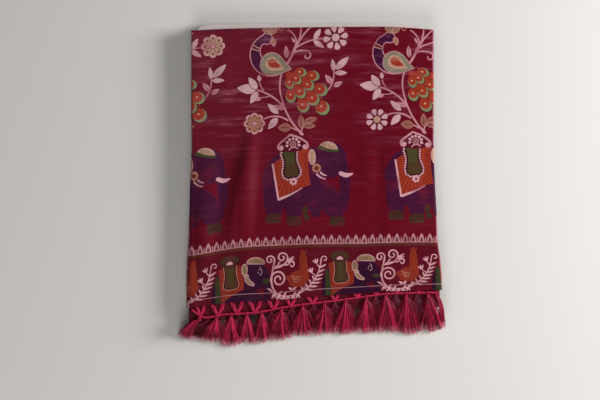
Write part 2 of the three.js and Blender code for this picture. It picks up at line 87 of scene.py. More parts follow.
def addStudio():
    half = studio["floorSize"] / 2
    mesh = bpy.data.meshes.new("floor")
    corners = [(-half, -half, 0), (half, -half, 0), (half, half, 0), (-half, half, 0)]
    mesh.from_pydata(corners, [], [(0, 1, 2, 3)])
    floor = bpy.data.objects.new("floor", mesh)
    floor.location.z = -studio["floorDrop"]
    bpy.context.scene.collection.objects.link(floor)
    paint = bpy.data.materials.new("pale floor")
    paint.use_nodes = True
    shader = paint.node_tree.nodes["Principled BSDF"]
    shader.inputs["Base Color"].default_value = (*linearFrom(studio["floorTone"]), 1)
    shader.inputs["Roughness"].default_value = studio["floorRoughness"]
    shader.inputs["Specular IOR Level"].default_value = studio["floorSpecular"]
    mesh.materials.append(paint)
    world = bpy.data.worlds.new("soft room")
    world.use_nodes = True
    world.node_tree.nodes["Background"].inputs["Color"].default_value = (1, 1, 1, 1)
    world.node_tree.nodes["Background"].inputs["Strength"].default_value = studio["sky"]
    bpy.context.scene.world = world
    for lamp in studio["lamps"]:
        data = bpy.data.lights.new(lamp["name"], "AREA")
        data.energy = lamp["watts"]
        data.shape = "DISK"
        data.size = lamp["size"]
        holder = bpy.data.objects.new(lamp["name"], data)
        holder.location = lamp["at"]
        aim = -holder.location
        holder.rotation_euler = aim.to_track_quat("-Z", "Y").to_euler()
        bpy.context.scene.collection.objects.link(holder)
    bpy.context.scene.view_settings.view_transform = "Standard"
    print("floor laid,", len(studio["lamps"]), "lamps hung")


# The folded sari as a whole. Heights are over the floor.
folded = {
    "halfWidth": 146.25,  # a quarter of the cloth's 1170 mm, halved
    "gap": 0.3,
    "bodyTop": 16.6,
    "innerBottom": 16.9,
    "innerTop": 18.2,
    "palluTop": 19.8,
    "panelHeight": 322.5,
    "rollTurn": math.radians(140),
}

sideFolds = {  # how far each side stands out past half the folded width
    "y": [-186, -140, -109, -84, -52, -10, 27, 60, 176],
    "left": [7.2, 7.2, 6.6, 4.8, 3.6, 2.3, 0.7, 1.1, 1.2],
    "right": [10.1, 10.1, 8.2, 4.8, 3.4, 1.1, 0.1, -0.2, -0.2],
}

crossLines = {
    "x": [-154, -100, -50, 0, 50, 100, 157],
    "topFold": [170.8, 173.3, 174.4, 175.1, 175.6, 175.4, 171.5],
    "hem": [-164.6, -157.2, -154.6, -149.9, -146.4, -143.5, -142.2],
    "bodyFold": [-186.4, -177.6, -171.9, -168.1, -165.7, -164.0, -163.1],
}

rollRows = {
    "y": [-165, -110, -40, 30, 176],
    "leftReach": [8.6, 8.2, 5.6, 3.0, 2.8],
    "leftDrop": [5.5, 5.3, 3.9, 2.6, 2.5],
    "rightReach": [4.2, 3.7, 2.7, 2.4, 2.4],
    "rightDrop": [3.0, 2.9, 2.5, 2.4, 2.4],
}

ridges = [  # the broad, soft ridges of the pallu
    {"x": -77, "slant": 0.05, "yFrom": -122, "yTo": 58, "half": 12, "height": 3.0},
    {"x": -126, "slant": 0.06, "yFrom": -140, "yTo": 46, "half": 17, "height": 3.2},
    {"x": -20, "slant": -0.04, "yFrom": -110, "yTo": 150, "half": 42, "height": 1.3},
    {"x": 66, "slant": 0.05, "yFrom": -60, "yTo": 60, "half": 14, "height": 0.9},
    {"x": 105, "slant": -0.03, "yFrom": -125, "yTo": 140, "half": 34, "height": 1.7},
    {"x": -108, "slant": 0.02, "yFrom": 60, "yTo": 165, "half": 14, "height": 1.1},
    {"x": 8, "slant": 0.12, "yFrom": -150, "yTo": -60, "half": 16, "height": 1.2},
]

creases = [  # narrow folds in the cloth: a minus depth is a trough, "lee" is a wider left slope
    {"start": (-72, 52), "end": (-99, -92), "sag": -3, "width": 13, "lee": 9, "depth": 4.9},
    {"start": (-128, -20), "end": (-118, -120), "sag": 2, "width": 6.0, "depth": -1.0},
    {"start": (-98, 150), "end": (-96, 74), "sag": -1, "width": 3.5, "depth": -0.45},
    {"start": (79, 32), "end": (82, -26), "sag": 1, "width": 3.2, "depth": -0.5},
    {"start": (-146, -20), "end": (-143, -150), "sag": 2, "width": 3.0, "depth": -0.7},
    {"start": (-60, 96), "end": (18, 101), "sag": 1.5, "width": 3.0, "depth": 0.35},
    {"start": (20, 118), "end": (96, 112), "sag": -1.0, "width": 2.6, "depth": 0.3},
    {"start": (-134, 140), "end": (-82, 134), "sag": 1.0, "width": 2.8, "depth": 0.35},
    {"start": (60, 144), "end": (134, 150), "sag": -1.4, "width": 3.2, "depth": 0.4},
    {"start": (38, -50), "end": (46, -112), "sag": 2.5, "width": 4.0, "depth": 0.45},
    {"start": (96, -14), "end": (88, -96), "sag": -2.0, "width": 4.4, "depth": 0.5},
    {"start": (-38, -40), "end": (-30, -98), "sag": 1.5, "width": 3.4, "depth": -0.4},
    {"start": (128, 60), "end": (134, -30), "sag": 2.0, "width": 3.6, "depth": -0.45},
    {"start": (-120, -86), "end": (-62, -92), "sag": 2.0, "width": 3.0, "depth": 0.4},
    {"start": (2, -86), "end": (74, -82), "sag": -1.5, "width": 2.8, "depth": 0.35},
    {"start": (-6, 60), "end": (-12, 4), "sag": 1.0, "width": 3.2, "depth": 0.3},
    {"start": (110, -104), "end": (116, -142), "sag": 1.0, "width": 3.4, "depth": -0.4},
    {"start": (-58, -112), "end": (-52, -152), "sag": -1.0, "width": 3.0, "depth": -0.35},
]


def lineThrough(along, values):
    along, values = np.array(along, float), np.array(values, float)
    order = np.arange(len(along))
    low, high = np.maximum(order - 1, 0), np.minimum(order + 1, len(along) - 1)
    slopes = (values[high] - values[low]) / (along[high] - along[low])

    def at(place):
        place = np.clip(np.asarray(place, float), along[0], along[-1])
        after = np.clip(np.searchsorted(along, place), 1, len(along) - 1)
        before = after - 1
        span = along[after] - along[before]
        t = (place - along[before]) / span
        rise = values[after] - values[before]
        bend = (slopes[before] * span - rise) * (1 - t) + (rise - slopes[after] * span) * t
        return values[before] + rise * t + bend * t * (1 - t)

    return at


leftBulge = lineThrough(sideFolds["y"], sideFolds["left"])
rightBulge = lineThrough(sideFolds["y"], sideFolds["right"])
topFold = lineThrough(crossLines["x"], crossLines["topFold"])
hem = lineThrough(crossLines["x"], crossLines["hem"])
bodyFold = lineThrough(crossLines["x"], crossLines["bodyFold"])


def leftEdge(y):
    return -folded["halfWidth"] - leftBulge(y)


def rightEdge(y):
    return folded["halfWidth"] + rightBulge(y)


def ridgeHeight(x, y):
    height = np.zeros(np.broadcast(x, y).shape)
    for ridge in ridges:
        away = (x - ridge["x"] - ridge["slant"] * y) / ridge["half"]
        along = (y - ridge["yFrom"]) / (ridge["yTo"] - ridge["yFrom"])
        inside = (np.abs(away) < 1) & (along > 0) & (along < 1)
        crest = np.cos(away * np.pi / 2) * np.sin(along * np.pi)
        height = np.maximum(height, np.where(inside, ridge["height"] * np.abs(crest) ** 1.5, 0))
    return height


def creaseHeight(x, y):
    height = np.zeros(np.broadcast(x, y).shape)
    for crease in creases:
        start, end = np.array(crease["start"], float), np.array(crease["end"], float)
        run = end - start
        length = np.hypot(*run)
        along = ((x - start[0]) * run[0] + (y - start[1]) * run[1]) / length ** 2
        side = ((y - start[1]) * run[0] - (x - start[0]) * run[1]) / length
        inside = np.clip(along, 0, 1)
        side = side - crease["sag"] * 4 * inside * (1 - inside)
        width = np.where(side < 0, crease.get("lee", crease["width"]), crease["width"])
        height += crease["depth"] * np.exp(-((side / width) ** 2)) * np.sin(inside * np.pi) ** 0.7
    return height


def palluLift(x, y):
    return ridgeHeight(x, y) + creaseHeight(x, y)


# How much cloth a rolled edge takes up.
def rollArc(reach, drop):
    return folded["rollTurn"] * (reach + drop) / 2


# A rolled edge: how far in from the fold and how far down a point lies, once it is past the flat.
def rollAt(reach, drop, past, setIn):
    turn = np.pi / 2 - folded["rollTurn"] * np.clip(past / rollArc(reach, drop), 0, 1)
    return setIn + (reach - setIn) * (1 - np.cos(turn)), (drop - setIn) * (1 - np.sin(turn))


palluPanel = {
    "top": folded["palluTop"],
    "inset": 0,
    "leftReach": lineThrough(rollRows["y"], rollRows["leftReach"]),
    "leftDrop": lineThrough(rollRows["y"], rollRows["leftDrop"]),
    "rightReach": lineThrough(rollRows["y"], rollRows["rightReach"]),
    "rightDrop": lineThrough(rollRows["y"], rollRows["rightDrop"]),
    "near": hem,
    "nearRoll": None,
    "far": topFold,
    "farRoll": (2.5, 2.6),
    "height": folded["panelHeight"],
    "lift": palluLift,
}


# Places points of a panel, given as mm across it and mm up from its near line.
def panelPlace(panel, u, w, setIn):
    half, height = folded["halfWidth"], panel["height"]
    share = np.clip(w / height, 0, 1)
    y = panel["near"](u) + share * (panel["far"](u) - panel["near"](u))
    leftReach, leftDrop = panel["leftReach"](y), panel["leftDrop"](y)
    rightReach, rightDrop = panel["rightReach"](y), panel["rightDrop"](y)
    leftFlat = leftEdge(y) + panel["inset"] + leftReach
    rightFlat = rightEdge(y) - panel["inset"] - rightReach
    across = np.clip((u - leftFlat) / (rightFlat - leftFlat), 0, 1)
    leftIn, leftDown = rollAt(leftReach, leftDrop, np.maximum(leftFlat - u, 0), setIn)
    rightIn, rightDown = rollAt(rightReach, rightDrop, np.maximum(u - rightFlat, 0), setIn)
    nominal = (2 * across - 1) * half
    nearIn, nearDown, farIn, farDown = 0, 0, 0, 0
    if panel["nearRoll"]:
        nearIn, nearDown = rollAt(*panel["nearRoll"], np.maximum(-w, 0), setIn)
    if panel["farRoll"]:
        farIn, farDown = rollAt(*panel["farRoll"], np.maximum(w - height, 0), setIn)
    near = panel["near"](nominal) + nearIn
    far = panel["far"](nominal) - farIn
    y = near + share * (far - near)
    left = leftEdge(y) + panel["inset"] + leftIn
    right = rightEdge(y) - panel["inset"] - rightIn
    x = left + across * (right - left)
    lift = panel["lift"](x, y) if panel["lift"] else 0
    z = panel["top"] - setIn + lift - np.hypot(leftDown + rightDown, nearDown + farDown)
    return np.stack([x, y, z], axis=-1)


def newMaterial(name, roughness, specular):
    finish = bpy.data.materials.new(name)
    finish.use_nodes = True
    shader = finish.node_tree.nodes["Principled BSDF"]
    shader.inputs["Roughness"].default_value = roughness
    shader.inputs["Specular IOR Level"].default_value = specular
    return finish, finish.node_tree, shader


# Slubs are the long thick places in the weft. They put fine streaks across the cloth.
# Each scale is a count to the metre, along the weft and across it.
slubs = {
    "scales": {"Streaks": (62, 1050, 1), "Threads": (600, 1500, 1), "Patches": (13, 150, 1)},
    "details": {"Streaks": 3, "Threads": 2, "Patches": 3},
}


def buildSlubGroup():
    group = bpy.data.node_groups.new("slub streaks", "ShaderNodeTree")
    group.interface.new_socket("Vector", in_out="INPUT", socket_type="NodeSocketVector")
    for label, scale in slubs["scales"].items():
        size = group.interface.new_socket(label + " Scale", in_out="INPUT", socket_type="NodeSocketVector")
        size.default_value = scale
        group.interface.new_socket(label, in_out="OUTPUT", socket_type="NodeSocketFloat")
    nodes, links = group.nodes, group.links
    entry, leave = nodes.new("NodeGroupInput"), nodes.new("NodeGroupOutput")
    for label, detail in slubs["details"].items():
        stretch = nodes.new("ShaderNodeMapping")
        noise = nodes.new("ShaderNodeTexNoise")
        noise.inputs["Scale"].default_value = 1
        noise.inputs["Detail"].default_value = detail
        links.new(entry.outputs["Vector"], stretch.inputs["Vector"])
        links.new(entry.outputs[label + " Scale"], stretch.inputs["Scale"])
        links.new(stretch.outputs["Vector"], noise.inputs["Vector"])
        links.new(noise.outputs["Fac"], leave.inputs[label])
    return group


slubGroup = buildSlubGroup()


def placedSlubs(tree, source, scales):
    node = tree.nodes.new("ShaderNodeGroup")
    node.node_tree = slubGroup
    for label, scale in scales.items():
        node.inputs[label + " Scale"].default_value = scale
    tree.links.new(source, node.inputs["Vector"])
    return node


def addBump(tree, shader, heightSocket, strength, distance):
    bump = tree.nodes.new("ShaderNodeBump")
    bump.inputs["Strength"].default_value = strength
    bump.inputs["Distance"].default_value = distance
    tree.links.new(heightSocket, bump.inputs["Height"])
    tree.links.new(bump.outputs["Normal"], shader.inputs["Normal"])


# Feeds a socket from another one, or gives it a plain value.
def feed(tree, socket, value):
    if hasattr(value, "is_linked"):
        tree.links.new(value, socket)
    else:
        socket.default_value = value


def mixColour(tree, factor, first, second, blend="MIX"):
    mix = tree.nodes.new("ShaderNodeMix")
    mix.data_type = "RGBA"
    mix.blend_type = blend
    for socket, value in ((mix.inputs[0], factor), (mix.inputs[6], first), (mix.inputs[7], second)):
        feed(tree, socket, value)
    return mix.outputs[2]


def rangeOf(tree, value, fromLow, fromHigh, toLow, toHigh):
    node = tree.nodes.new("ShaderNodeMapRange")
    tree.links.new(value, node.inputs["Value"])
    limits = (("From Min", fromLow), ("From Max", fromHigh), ("To Min", toLow), ("To Max", toHigh))
    for name, amount in limits:
        node.inputs[name].default_value = amount
    return node.outputs["Result"]


def noiseAt(tree, source, scale, detail):
    noise = tree.nodes.new("ShaderNodeTexNoise")
    noise.inputs["Scale"].default_value = scale
    noise.inputs["Detail"].default_value = detail
    tree.links.new(source, noise.inputs["Vector"])
    return noise.outputs["Fac"]


def joined(tree, operation, first, second):
    node = tree.nodes.new("ShaderNodeMath")
    node.operation = operation
    feed(tree, node.inputs[0], first)
    feed(tree, node.inputs[1], second)
    return node.outputs[0]


def multiplied(tree, first, second):
    return joined(tree, "MULTIPLY", first, second)


def addedUp(tree, first, second):
    return joined(tree, "ADD", first, second)


# The limits are the noise values between which an effect sets in.
printedFinish = {
    "roughness": 0.5,
    "specular": 0.05,
    "slubScales": {"Streaks": (62, 1050, 1), "Threads": (600, 1500, 1), "Patches": (13, 150, 1)},
    "streakTones": (0.86, 1.15),
    "grainTones": (0.9, 1.1),
    "bareTone": "6a1428",
    "specks": {"scale": 1700, "detail": 1, "limits": (0.52, 0.66), "share": 0.5},
    "blots": {"scale": 42, "detail": 3, "limits": (0.5, 0.66), "share": 0.6},
    # The glint tone is the pale of the slubs and of the painted sheen.
    "glintTone": "a8647a",
    "glintHeights": (0.16, 0.25),  # metres up the panel
    "glintShares": (0.03, 0.34),
    "regions": {"scale": 16, "detail": 1, "limits": (0.42, 0.6), "shares": (0.1, 1.4)},
    "paintedSheen": 0.06,  # a painted sheen at the upper left
    "bump": {"strength": 0.25, "distance": 0.00025},
}


def buildPrintedCloth():
    f = printedFinish
    finish, tree, shader = newMaterial("printed silk", f["roughness"], f["specular"])
    ink = tree.nodes.new("ShaderNodeAttribute")
    ink.attribute_name = "print"
    place = tree.nodes.new("ShaderNodeUVMap")
    place.uv_map = "cloth"
    spot = place.outputs["UV"]
    weave = placedSlubs(tree, spot, f["slubScales"])
    streakTone = rangeOf(tree, weave.outputs["Streaks"], 0.3, 0.7, *f["streakTones"])
    grainTone = rangeOf(tree, weave.outputs["Threads"], 0.35, 0.65, *f["grainTones"])
    shade = multiplied(tree, streakTone, grainTone)
    toned = mixColour(tree, 1.0, ink.outputs["Color"], shade, "MULTIPLY")
    # The inks let the cloth show through in small specks and in soft blots.
    bare = []
    for wear in (f["specks"], f["blots"]):
        thin = noiseAt(tree, spot, wear["scale"], wear["detail"])
        bare.append(rangeOf(tree, thin, *wear["limits"], 0.0, wear["share"]))
    through = multiplied(tree, addedUp(tree, *bare), ink.outputs["Alpha"])
    worn = mixColour(tree, through, toned, (*linearFrom(f["bareTone"]), 1))
    # Pale slubs gather in bands across the cloth, and a painted sheen makes them paler towards the top, most
    # of all round the tree.
    parts = tree.nodes.new("ShaderNodeSeparateXYZ")
    tree.links.new(spot, parts.inputs["Vector"])
    banded = rangeOf(tree, weave.outputs["Patches"], 0.46, 0.7, 0.0, 1.0)
    fine = rangeOf(tree, weave.outputs["Streaks"], 0.4, 0.66, 0.1, 1.6)
    height = rangeOf(tree, parts.outputs["Y"], *f["glintHeights"], *f["glintShares"])
    regions = f["regions"]
    area = noiseAt(tree, spot, regions["scale"], regions["detail"])
    patchy = rangeOf(tree, area, *regions["limits"], *regions["shares"])
    glint = multiplied(tree, multiplied(tree, height, patchy), multiplied(tree, banded, fine))
    # A painted sheen makes the cloth paler towards the upper left.
    leftward = rangeOf(tree, parts.outputs["X"], 0.05, -0.15, 0.0, 1.0)
    upward = rangeOf(tree, parts.outputs["Y"], 0.1, 0.31, 0.15, 1.0)
    paintedSheen = multiplied(tree, multiplied(tree, leftward, upward), f["paintedSheen"])
    shown = mixColour(tree, addedUp(tree, glint, paintedSheen), worn, (*linearFrom(f["glintTone"]), 1))
    tree.links.new(shown, shader.inputs["Base Color"])
    addBump(tree, shader, weave.outputs["Streaks"], **f["bump"])
    return finish


plainFinish = {
    "roughness": 0.52,
    "specular": 0.1,
    "tone": "520c1c",
    "slubScales": {"Streaks": (62, 1050, 1)},
    "streakTones": (0.78, 1.22),
    "bump": {"strength": 0.3, "distance": 0.0003},
}


def buildPlainCloth():
    f = plainFinish
    finish, tree, shader = newMaterial("plain silk", f["roughness"], f["specular"])
    place = tree.nodes.new("ShaderNodeTexCoord")
    weave = placedSlubs(tree, place.outputs["Object"], f["slubScales"])
    shade = rangeOf(tree, weave.outputs["Streaks"], 0.3, 0.7, *f["streakTones"])
    shown = mixColour(tree, 1.0, (*linearFrom(f["tone"]), 1), shade, "MULTIPLY")
    tree.links.new(shown, shader.inputs["Base Color"])
    addBump(tree, shader, weave.outputs["Streaks"], **f["bump"])
    return finish


threadFinish = {
    "roughness": 0.42,
    "specular": 0.14,
    "tipHighlightFrom": 0.84,  # how far along a thread its end is painted paler as a highlight
    "tipHighlightShare": 0.85,
    # The tip tones are painted highlights on the thread ends.
    "front": {"tone": "d42a5a", "tip": "d89aa8", "dark": "560818"},
    # The inner tones are a darker copy of the front ones, painted shade for the threads hung underneath.
    "inner": {"tone": "6e1029", "tip": "985868", "dark": "30061a"},
}


def buildThreadFinish(name, tones):
    f = threadFinish
    finish, tree, shader = newMaterial(name, f["roughness"], f["specular"])
    along = tree.nodes.new("ShaderNodeAttribute")
    along.attribute_name = "along"
    shade = tree.nodes.new("ShaderNodeAttribute")
    shade.attribute_name = "shade"
    dark, tone, tip = ((*linearFrom(tones[key]), 1) for key in ("dark", "tone", "tip"))
    body = mixColour(tree, shade.outputs["Fac"], dark, tone)
    # The thread ends are painted paler towards the tip tone, as a highlight.
    tipHighlight = rangeOf(tree, along.outputs["Fac"], f["tipHighlightFrom"], 1.0, 0.0, f["tipHighlightShare"])
    tree.links.new(mixColour(tree, tipHighlight, body, tip), shader.inputs["Base Color"])
    return finish


cardFinish = {
    "roughness": 0.85,
    "specular": 0.2,
    "tone": "d2c4c3",
    "fibreScale": 420,
    "fibreDetail": 4,
    "fibreTones": (0.93, 1.05),
    "bump": {"strength": 0.2, "distance": 0.0002},
}


def buildCardFinish():
    f = cardFinish
    finish, tree, shader = newMaterial("white card", f["roughness"], f["specular"])
    place = tree.nodes.new("ShaderNodeTexCoord")
    fibre = noiseAt(tree, place.outputs["Object"], f["fibreScale"], f["fibreDetail"])
    shade = rangeOf(tree, fibre, 0.3, 0.7, *f["fibreTones"])
    shown = mixColour(tree, 1.0, (*linearFrom(f["tone"]), 1), shade, "MULTIPLY")
    tree.links.new(shown, shader.inputs["Base Color"])
    addBump(tree, shader, fibre, **f["bump"])
    return finish


printedCloth = buildPrintedCloth()
plainCloth = buildPlainCloth()
tasselThread = buildThreadFinish("tassel thread", threadFinish["front"])
shadedUnderThread = buildThreadFinish("shaded inner tassel thread", threadFinish["inner"])
whiteCard = buildCardFinish()
print("finishes mixed")


def addPiece(name, mesh, finish, nodeNames):
    piece = bpy.data.objects.new(name, mesh)
    bpy.context.scene.collection.objects.link(piece)
    if finish:
        mesh.materials.clear()
        mesh.materials.append(finish)
    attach(piece, "root")
    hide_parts(*nodeNames)
    return piece


def smoothMesh(mesh, sharpPast=None):
    mesh.polygons.foreach_set("use_smooth", [True] * len(mesh.polygons))
    if sharpPast is not None:
        mesh.set_sharp_from_angle(angle=math.radians(sharpPast))
    mesh.update()


# Two faces of points with the same triangles, joined round their edge, make a closed shell.
def shellMesh(name, outer, inner, faces):
    count = len(outer)
    faces = np.asarray(faces)
    sides = np.concatenate([faces[:, [0, 1]], faces[:, [1, 2]], faces[:, [2, 0]]])
    known = {(int(a), int(b)) for a, b in sides}
    rim = [(a, b) for a, b in known if (b, a) not in known]
    back = faces[:, ::-1] + count
    allFaces = faces.tolist() + back.tolist() + [(b, a, a + count, b + count) for a, b in rim]
    mesh = bpy.data.meshes.new(name)
    mesh.from_pydata((np.concatenate([outer, inner]) * mm).tolist(), [], allFaces)
    mesh.validate()
    return mesh


# The faces between rings of points that lie one above another.
def wallFaces(rings, size):
    faces = []
    for r in range(rings - 1):
        for i in range(size):
            j = (i + 1) % size
            faces.append((r * size + i, r * size + j, (r + 1) * size + j, (r + 1) * size + i))
    return faces


# The inks of the pallu's print. The print is drawn on the flat cloth.
inkTones = {
    "ground": "5c0719",
    "groundDark": "4a0818",
    "borderGround": "520a19",
    "dark": "2e0814",
    "olive": "50241c",
    "cream": "b47c85",
    "pale": "c28f96",
    "beige": "9a6955",
    "lilac": "bf979c",
    "purple": "370e2c",
    "purpleDark": "300b22",
    "orange": "8c2e1c",
    "orangeDark": "6a1f16",
    "green": "737a56",
    "plate": "3e3a1e",
    "plateLow": "412f1b",
    "foot": "38291a",
    "tooth": "8c585f",
    "toothRim": "b28087",
    "stitch": "926a72",
    "purpleLow": "2a0b23",
    "beigePale": "a8846f",
    "stemLine": "4a1420",
    "greyGreen": "74725c",
    "crestBrown": "7a5846",
    "heart": "b88a72",
    "eyePurple": "4a2440",
    "orangeLow": "7c2a1a",
    "beigeLow": "80684c",
    "leafLow": "2b321c",
    "bandGreen": "36401e",
    "capBrown": "40261a",
    "flameEdge": "985040",
    "beigeLeaf": "86534a",
}

printReach = {"bands": 185, "motifs": 176}  # to both sides of the middle, past the folds

inks = []  # each is a polygon on the flat cloth, its tone, and how much cloth shows through it


def addInk(points, tone, through=0.0):
    inks.append((swayed(np.array(points, float)), tone, through))


# Cuts the corners off a line of points until it runs smoothly.
def soften(points, closed, passes=2):
    points = np.array(points, float)
    for _ in range(passes):
        ahead = np.roll(points, -1, axis=0)
        pairs = np.stack([0.75 * points + 0.25 * ahead, 0.25 * points + 0.75 * ahead], 1)
        if closed:
            points = pairs.reshape(-1, 2)
        else:
            points = np.concatenate([points[:1], pairs[:-1].reshape(-1, 2), points[-1:]])
    return points


def swollen(points, by):
    run = np.roll(points, -1, axis=0) - np.roll(points, 1, axis=0)
    out = np.stack([run[:, 1], -run[:, 0]], 1) / np.maximum(np.hypot(*run.T), 1e-6)[:, None]
    ahead = np.roll(points, -1, axis=0)
    turning = np.sum(points[:, 0] * ahead[:, 1] - points[:, 1] * ahead[:, 0])
    return points + out * (by if turning > 0 else -by)


def roundTurns(count):
    return np.linspace(0, 2 * np.pi, count, endpoint=False)


# The unit steps to the left of a line's points.
def leftOf(line):
    run = np.gradient(line, axis=0)
    return np.stack([-run[:, 1], run[:, 0]], 1) / np.maximum(np.hypot(*run.T), 1e-6)[:, None]


# Outlines that lie evenly to both sides of a line, with square ends and with pointed ones.
def squareEnded(line, out):
    return np.concatenate([line + out, (line - out)[::-1]])


def pointEnded(line, out):
    return np.concatenate([line + out, (line - out)[-2:0:-1]])


def ringAt(centre, reach, turn):
    return np.stack([centre[0] + reach * np.cos(turn), centre[1] + reach * np.sin(turn)], 1)


# The point that lies at an angle from a centre. With two reaches it runs on an oval.
def outAt(centre, reach, way, upReach=None):
    up = reach if upReach is None else upReach
    return centre[0] + reach * math.cos(way), centre[1] + up * math.sin(way)


# A printing block: shapes in its own millimetres, stamped where the block is laid.
class PrintBlock:
    def __init__(self, u, stretchFrom=0.0, stretch=1.0):
        self.u, self.stretchFrom, self.stretch = u, stretchFrom, stretch

    def stamp(self, points, tone, through):
        points = np.array(points, float)
        up = points[:, 1]
        up = np.where(up > self.stretchFrom, self.stretchFrom + (up - self.stretchFrom) * self.stretch, up)
        placed = np.stack([points[:, 0] + self.u, up], 1)
        if placed[:, 0].max() > -printReach["motifs"] and placed[:, 0].min() < printReach["motifs"]:
            addInk(placed, tone, through)

    def shape(self, points, tone, through=0.15, edge=None, edgeWidth=1.1, passes=0):
        points = soften(points, True, passes)
        if edge:
            self.stamp(swollen(points, edgeWidth), edge, 0.7)
        self.stamp(points, tone, through)

    def oval(self, centre, across, up, tone, through=0.3, lean=0, edge=None, edgeWidth=0.8, part=(0, 360)):
        whole = part[1] - part[0] >= 360
        turn = np.radians(np.linspace(*part, 29 if whole else max(12, int(across * 2.2))))
        if whole:
            turn = turn[:-1]
        way = math.radians(lean)
        x, y = across * np.cos(turn), up * np.sin(turn)
        ring = np.stack([centre[0] + x * math.cos(way) - y * math.sin(way),
                         centre[1] + x * math.sin(way) + y * math.cos(way)], 1)
        self.shape(ring, tone, through, edge, edgeWidth)

    def disc(self, centre, radius, tone, through=0.3, sides=14):
        self.stamp(ringAt(centre, radius, roundTurns(sides)), tone, through)

    # A limb has a width for each of its stations and a round end at both.
    def limb(self, stations, widths, tone, through=0.3, edge=None, edgeWidth=1.2):
        line = soften(stations, False, 2 if len(stations) > 2 else 0)
        shares = np.linspace(0, 1, len(line))
        half = np.interp(shares, np.linspace(0, 1, len(widths)), widths) / 2
        side = leftOf(line)
        run = np.stack([side[:, 1], -side[:, 0]], 1)
        cap = np.linspace(0, np.pi, 9)[1:-1, None]
        last = line[-1] + half[-1] * (np.cos(cap) * side[-1] + np.sin(cap) * run[-1])
        first = line[0] + half[0] * (-np.cos(cap) * side[0] - np.sin(cap) * run[0])
        out = side * half[:, None]
        outline = np.concatenate([line + out, last, (line - out)[::-1], first])
        self.shape(outline, tone, through, edge, edgeWidth)

    def stroke(self, points, width, tone="cream", endWidth=None, through=0.75):
        line = soften(points, False, 2 if len(points) > 2 else 0)
        half = np.linspace(width, width if endWidth is None else endWidth, len(line))[:, None] / 2
        self.stamp(squareEnded(line, leftOf(line) * half), tone, through)

    # A stem bows to its left, or to its right where the bow is below 0.
    def stem(self, start, end, bow, width, endWidth=None, tone="cream", through=0.75):
        self.stroke(bowed(start, end, bow), width, tone, endWidth, through)

    def leaf(self, base, tip, width, tone="cream", rib=None, edge=None, bend=0.0):
        base, tip = np.array(base, float), np.array(tip, float)
        line = bowed(base, tip, bend, 13)
        share = np.linspace(0, 1, 13)
        half = (width / 2 * np.sin(np.pi * share ** 0.82) ** 0.85)[:, None]
        self.shape(pointEnded(line, leftOf(line) * half), tone, 0.6, edge, 0.7)
        if rib:
            self.stroke(line[1:10], 0.6, rib)

    # A drop: round at its centre and drawn out to a tip that bends a little.
    def drop(self, centre, radius, tip, tone, through=0.2, edge=None, edgeWidth=1.0, bend=0.0):
        centre, tip = np.array(centre, float), np.array(tip, float)
        reach = np.hypot(*(tip - centre))
        back = centre - (tip - centre) / reach * radius
        line = bowed(back, tip, bend, 22)
        share = np.linspace(0, 1, 22)
        turn = 2 * radius / (reach + radius)  # where the round part ends
        half = np.where(share < turn / 2, np.sqrt(np.clip(1 - (1 - share * 2 / turn) ** 2, 0, 1)),
                        np.cos(np.pi / 2 * np.clip((share - turn / 2) / (1 - turn / 2), 0, 1)) ** 1.25)
        body = pointEnded(line, leftOf(line) * half[:, None] * radius)
        self.shape(body, tone, through, edge, edgeWidth)

    # A round flower with a scalloped rim.
    def scalloped(self, centre, radius, count, tone, edge, core, spot="stemLine"):
        turn = roundTurns(count * 8)
        for size, ink in ((1.0, edge), (0.87, tone)):
            out = radius * size * (0.78 + 0.22 * np.abs(np.cos(turn * count / 2)) ** 0.6)
            self.stamp(ringAt(centre, out, turn), ink, 0.6)
        for i in range(count):
            way = 2 * np.pi * i / count
            self.disc(outAt(centre, radius * 0.66, way), radius * 0.09, spot, 0.9, 8)
            between = [outAt(centre, radius * reach, way + np.pi / count) for reach in (0.3, 0.74)]
            self.stroke(between, 0.6, spot, 0.4)
        self.disc(centre, radius * 0.24, spot, 0.8, 12)
        self.disc(centre, radius * 0.2, core, 0.4, 12)

    # A flower of separate petals round a disc.
    def petals(self, centre, radius, count, first, tone, gap, core):
        self.disc(centre, radius * 0.42, gap, 0.1, 16)
        petal = ((0.4, 0.1), (0.62, 0.27), (0.86, 0.3), (0.98, 0.15), (1.0, 0.0))
        petal += tuple((out, -spread) for out, spread in petal[-2::-1])
        for i in range(count):
            way = math.radians(first) + 2 * np.pi * i / count
            ring = [outAt(centre, radius * out, way + spread) for out, spread in petal]
            self.shape(ring, tone, 0.6, passes=1)
        self.disc(centre, radius * 0.31, core, 0.6, 14)

    # One scale of a peacock's tail. Its green end points away from the root.
    def feather(self, centre, long, wide, root):
        centre = np.array(centre, float)
        way = centre - np.array(root, float)
        way = way / np.hypot(*way)
        side = np.array([-way[1], way[0]])
        parts = ((1.09, 0.03, 1, "dark", 0.0), (1.0, 0.0, 1, "green", 0.35),
                 (0.8, -0.25, 1.13, "orange", 0.12))
        for size, shift, broad, tone, through in parts:
            ring = [centre + way * long * (shift + size * math.cos(t))
                    + side * wide * size * math.sin(t) * broad for t in roundTurns(20)]
            self.stamp(ring, tone, through)
        heart = centre - way * long * 0.22
        self.stamp([heart + step * 1.5 for step in (way, side, -way, -side)], "heart", 0.1)

    # A tail that runs into a spiral.
    def curl(self, centre, radius, turns, start, hand, width, tone="cream", tail=()):
        t = np.linspace(1, 0, int(12 * turns) + 4)
        way = math.radians(start) + hand * (1 - t) * turns * 2 * np.pi
        out = radius * (0.2 + 0.8 * t)
        self.stroke([*tail, *ringAt(centre, out, way).tolist()], width, tone, width * 0.85)

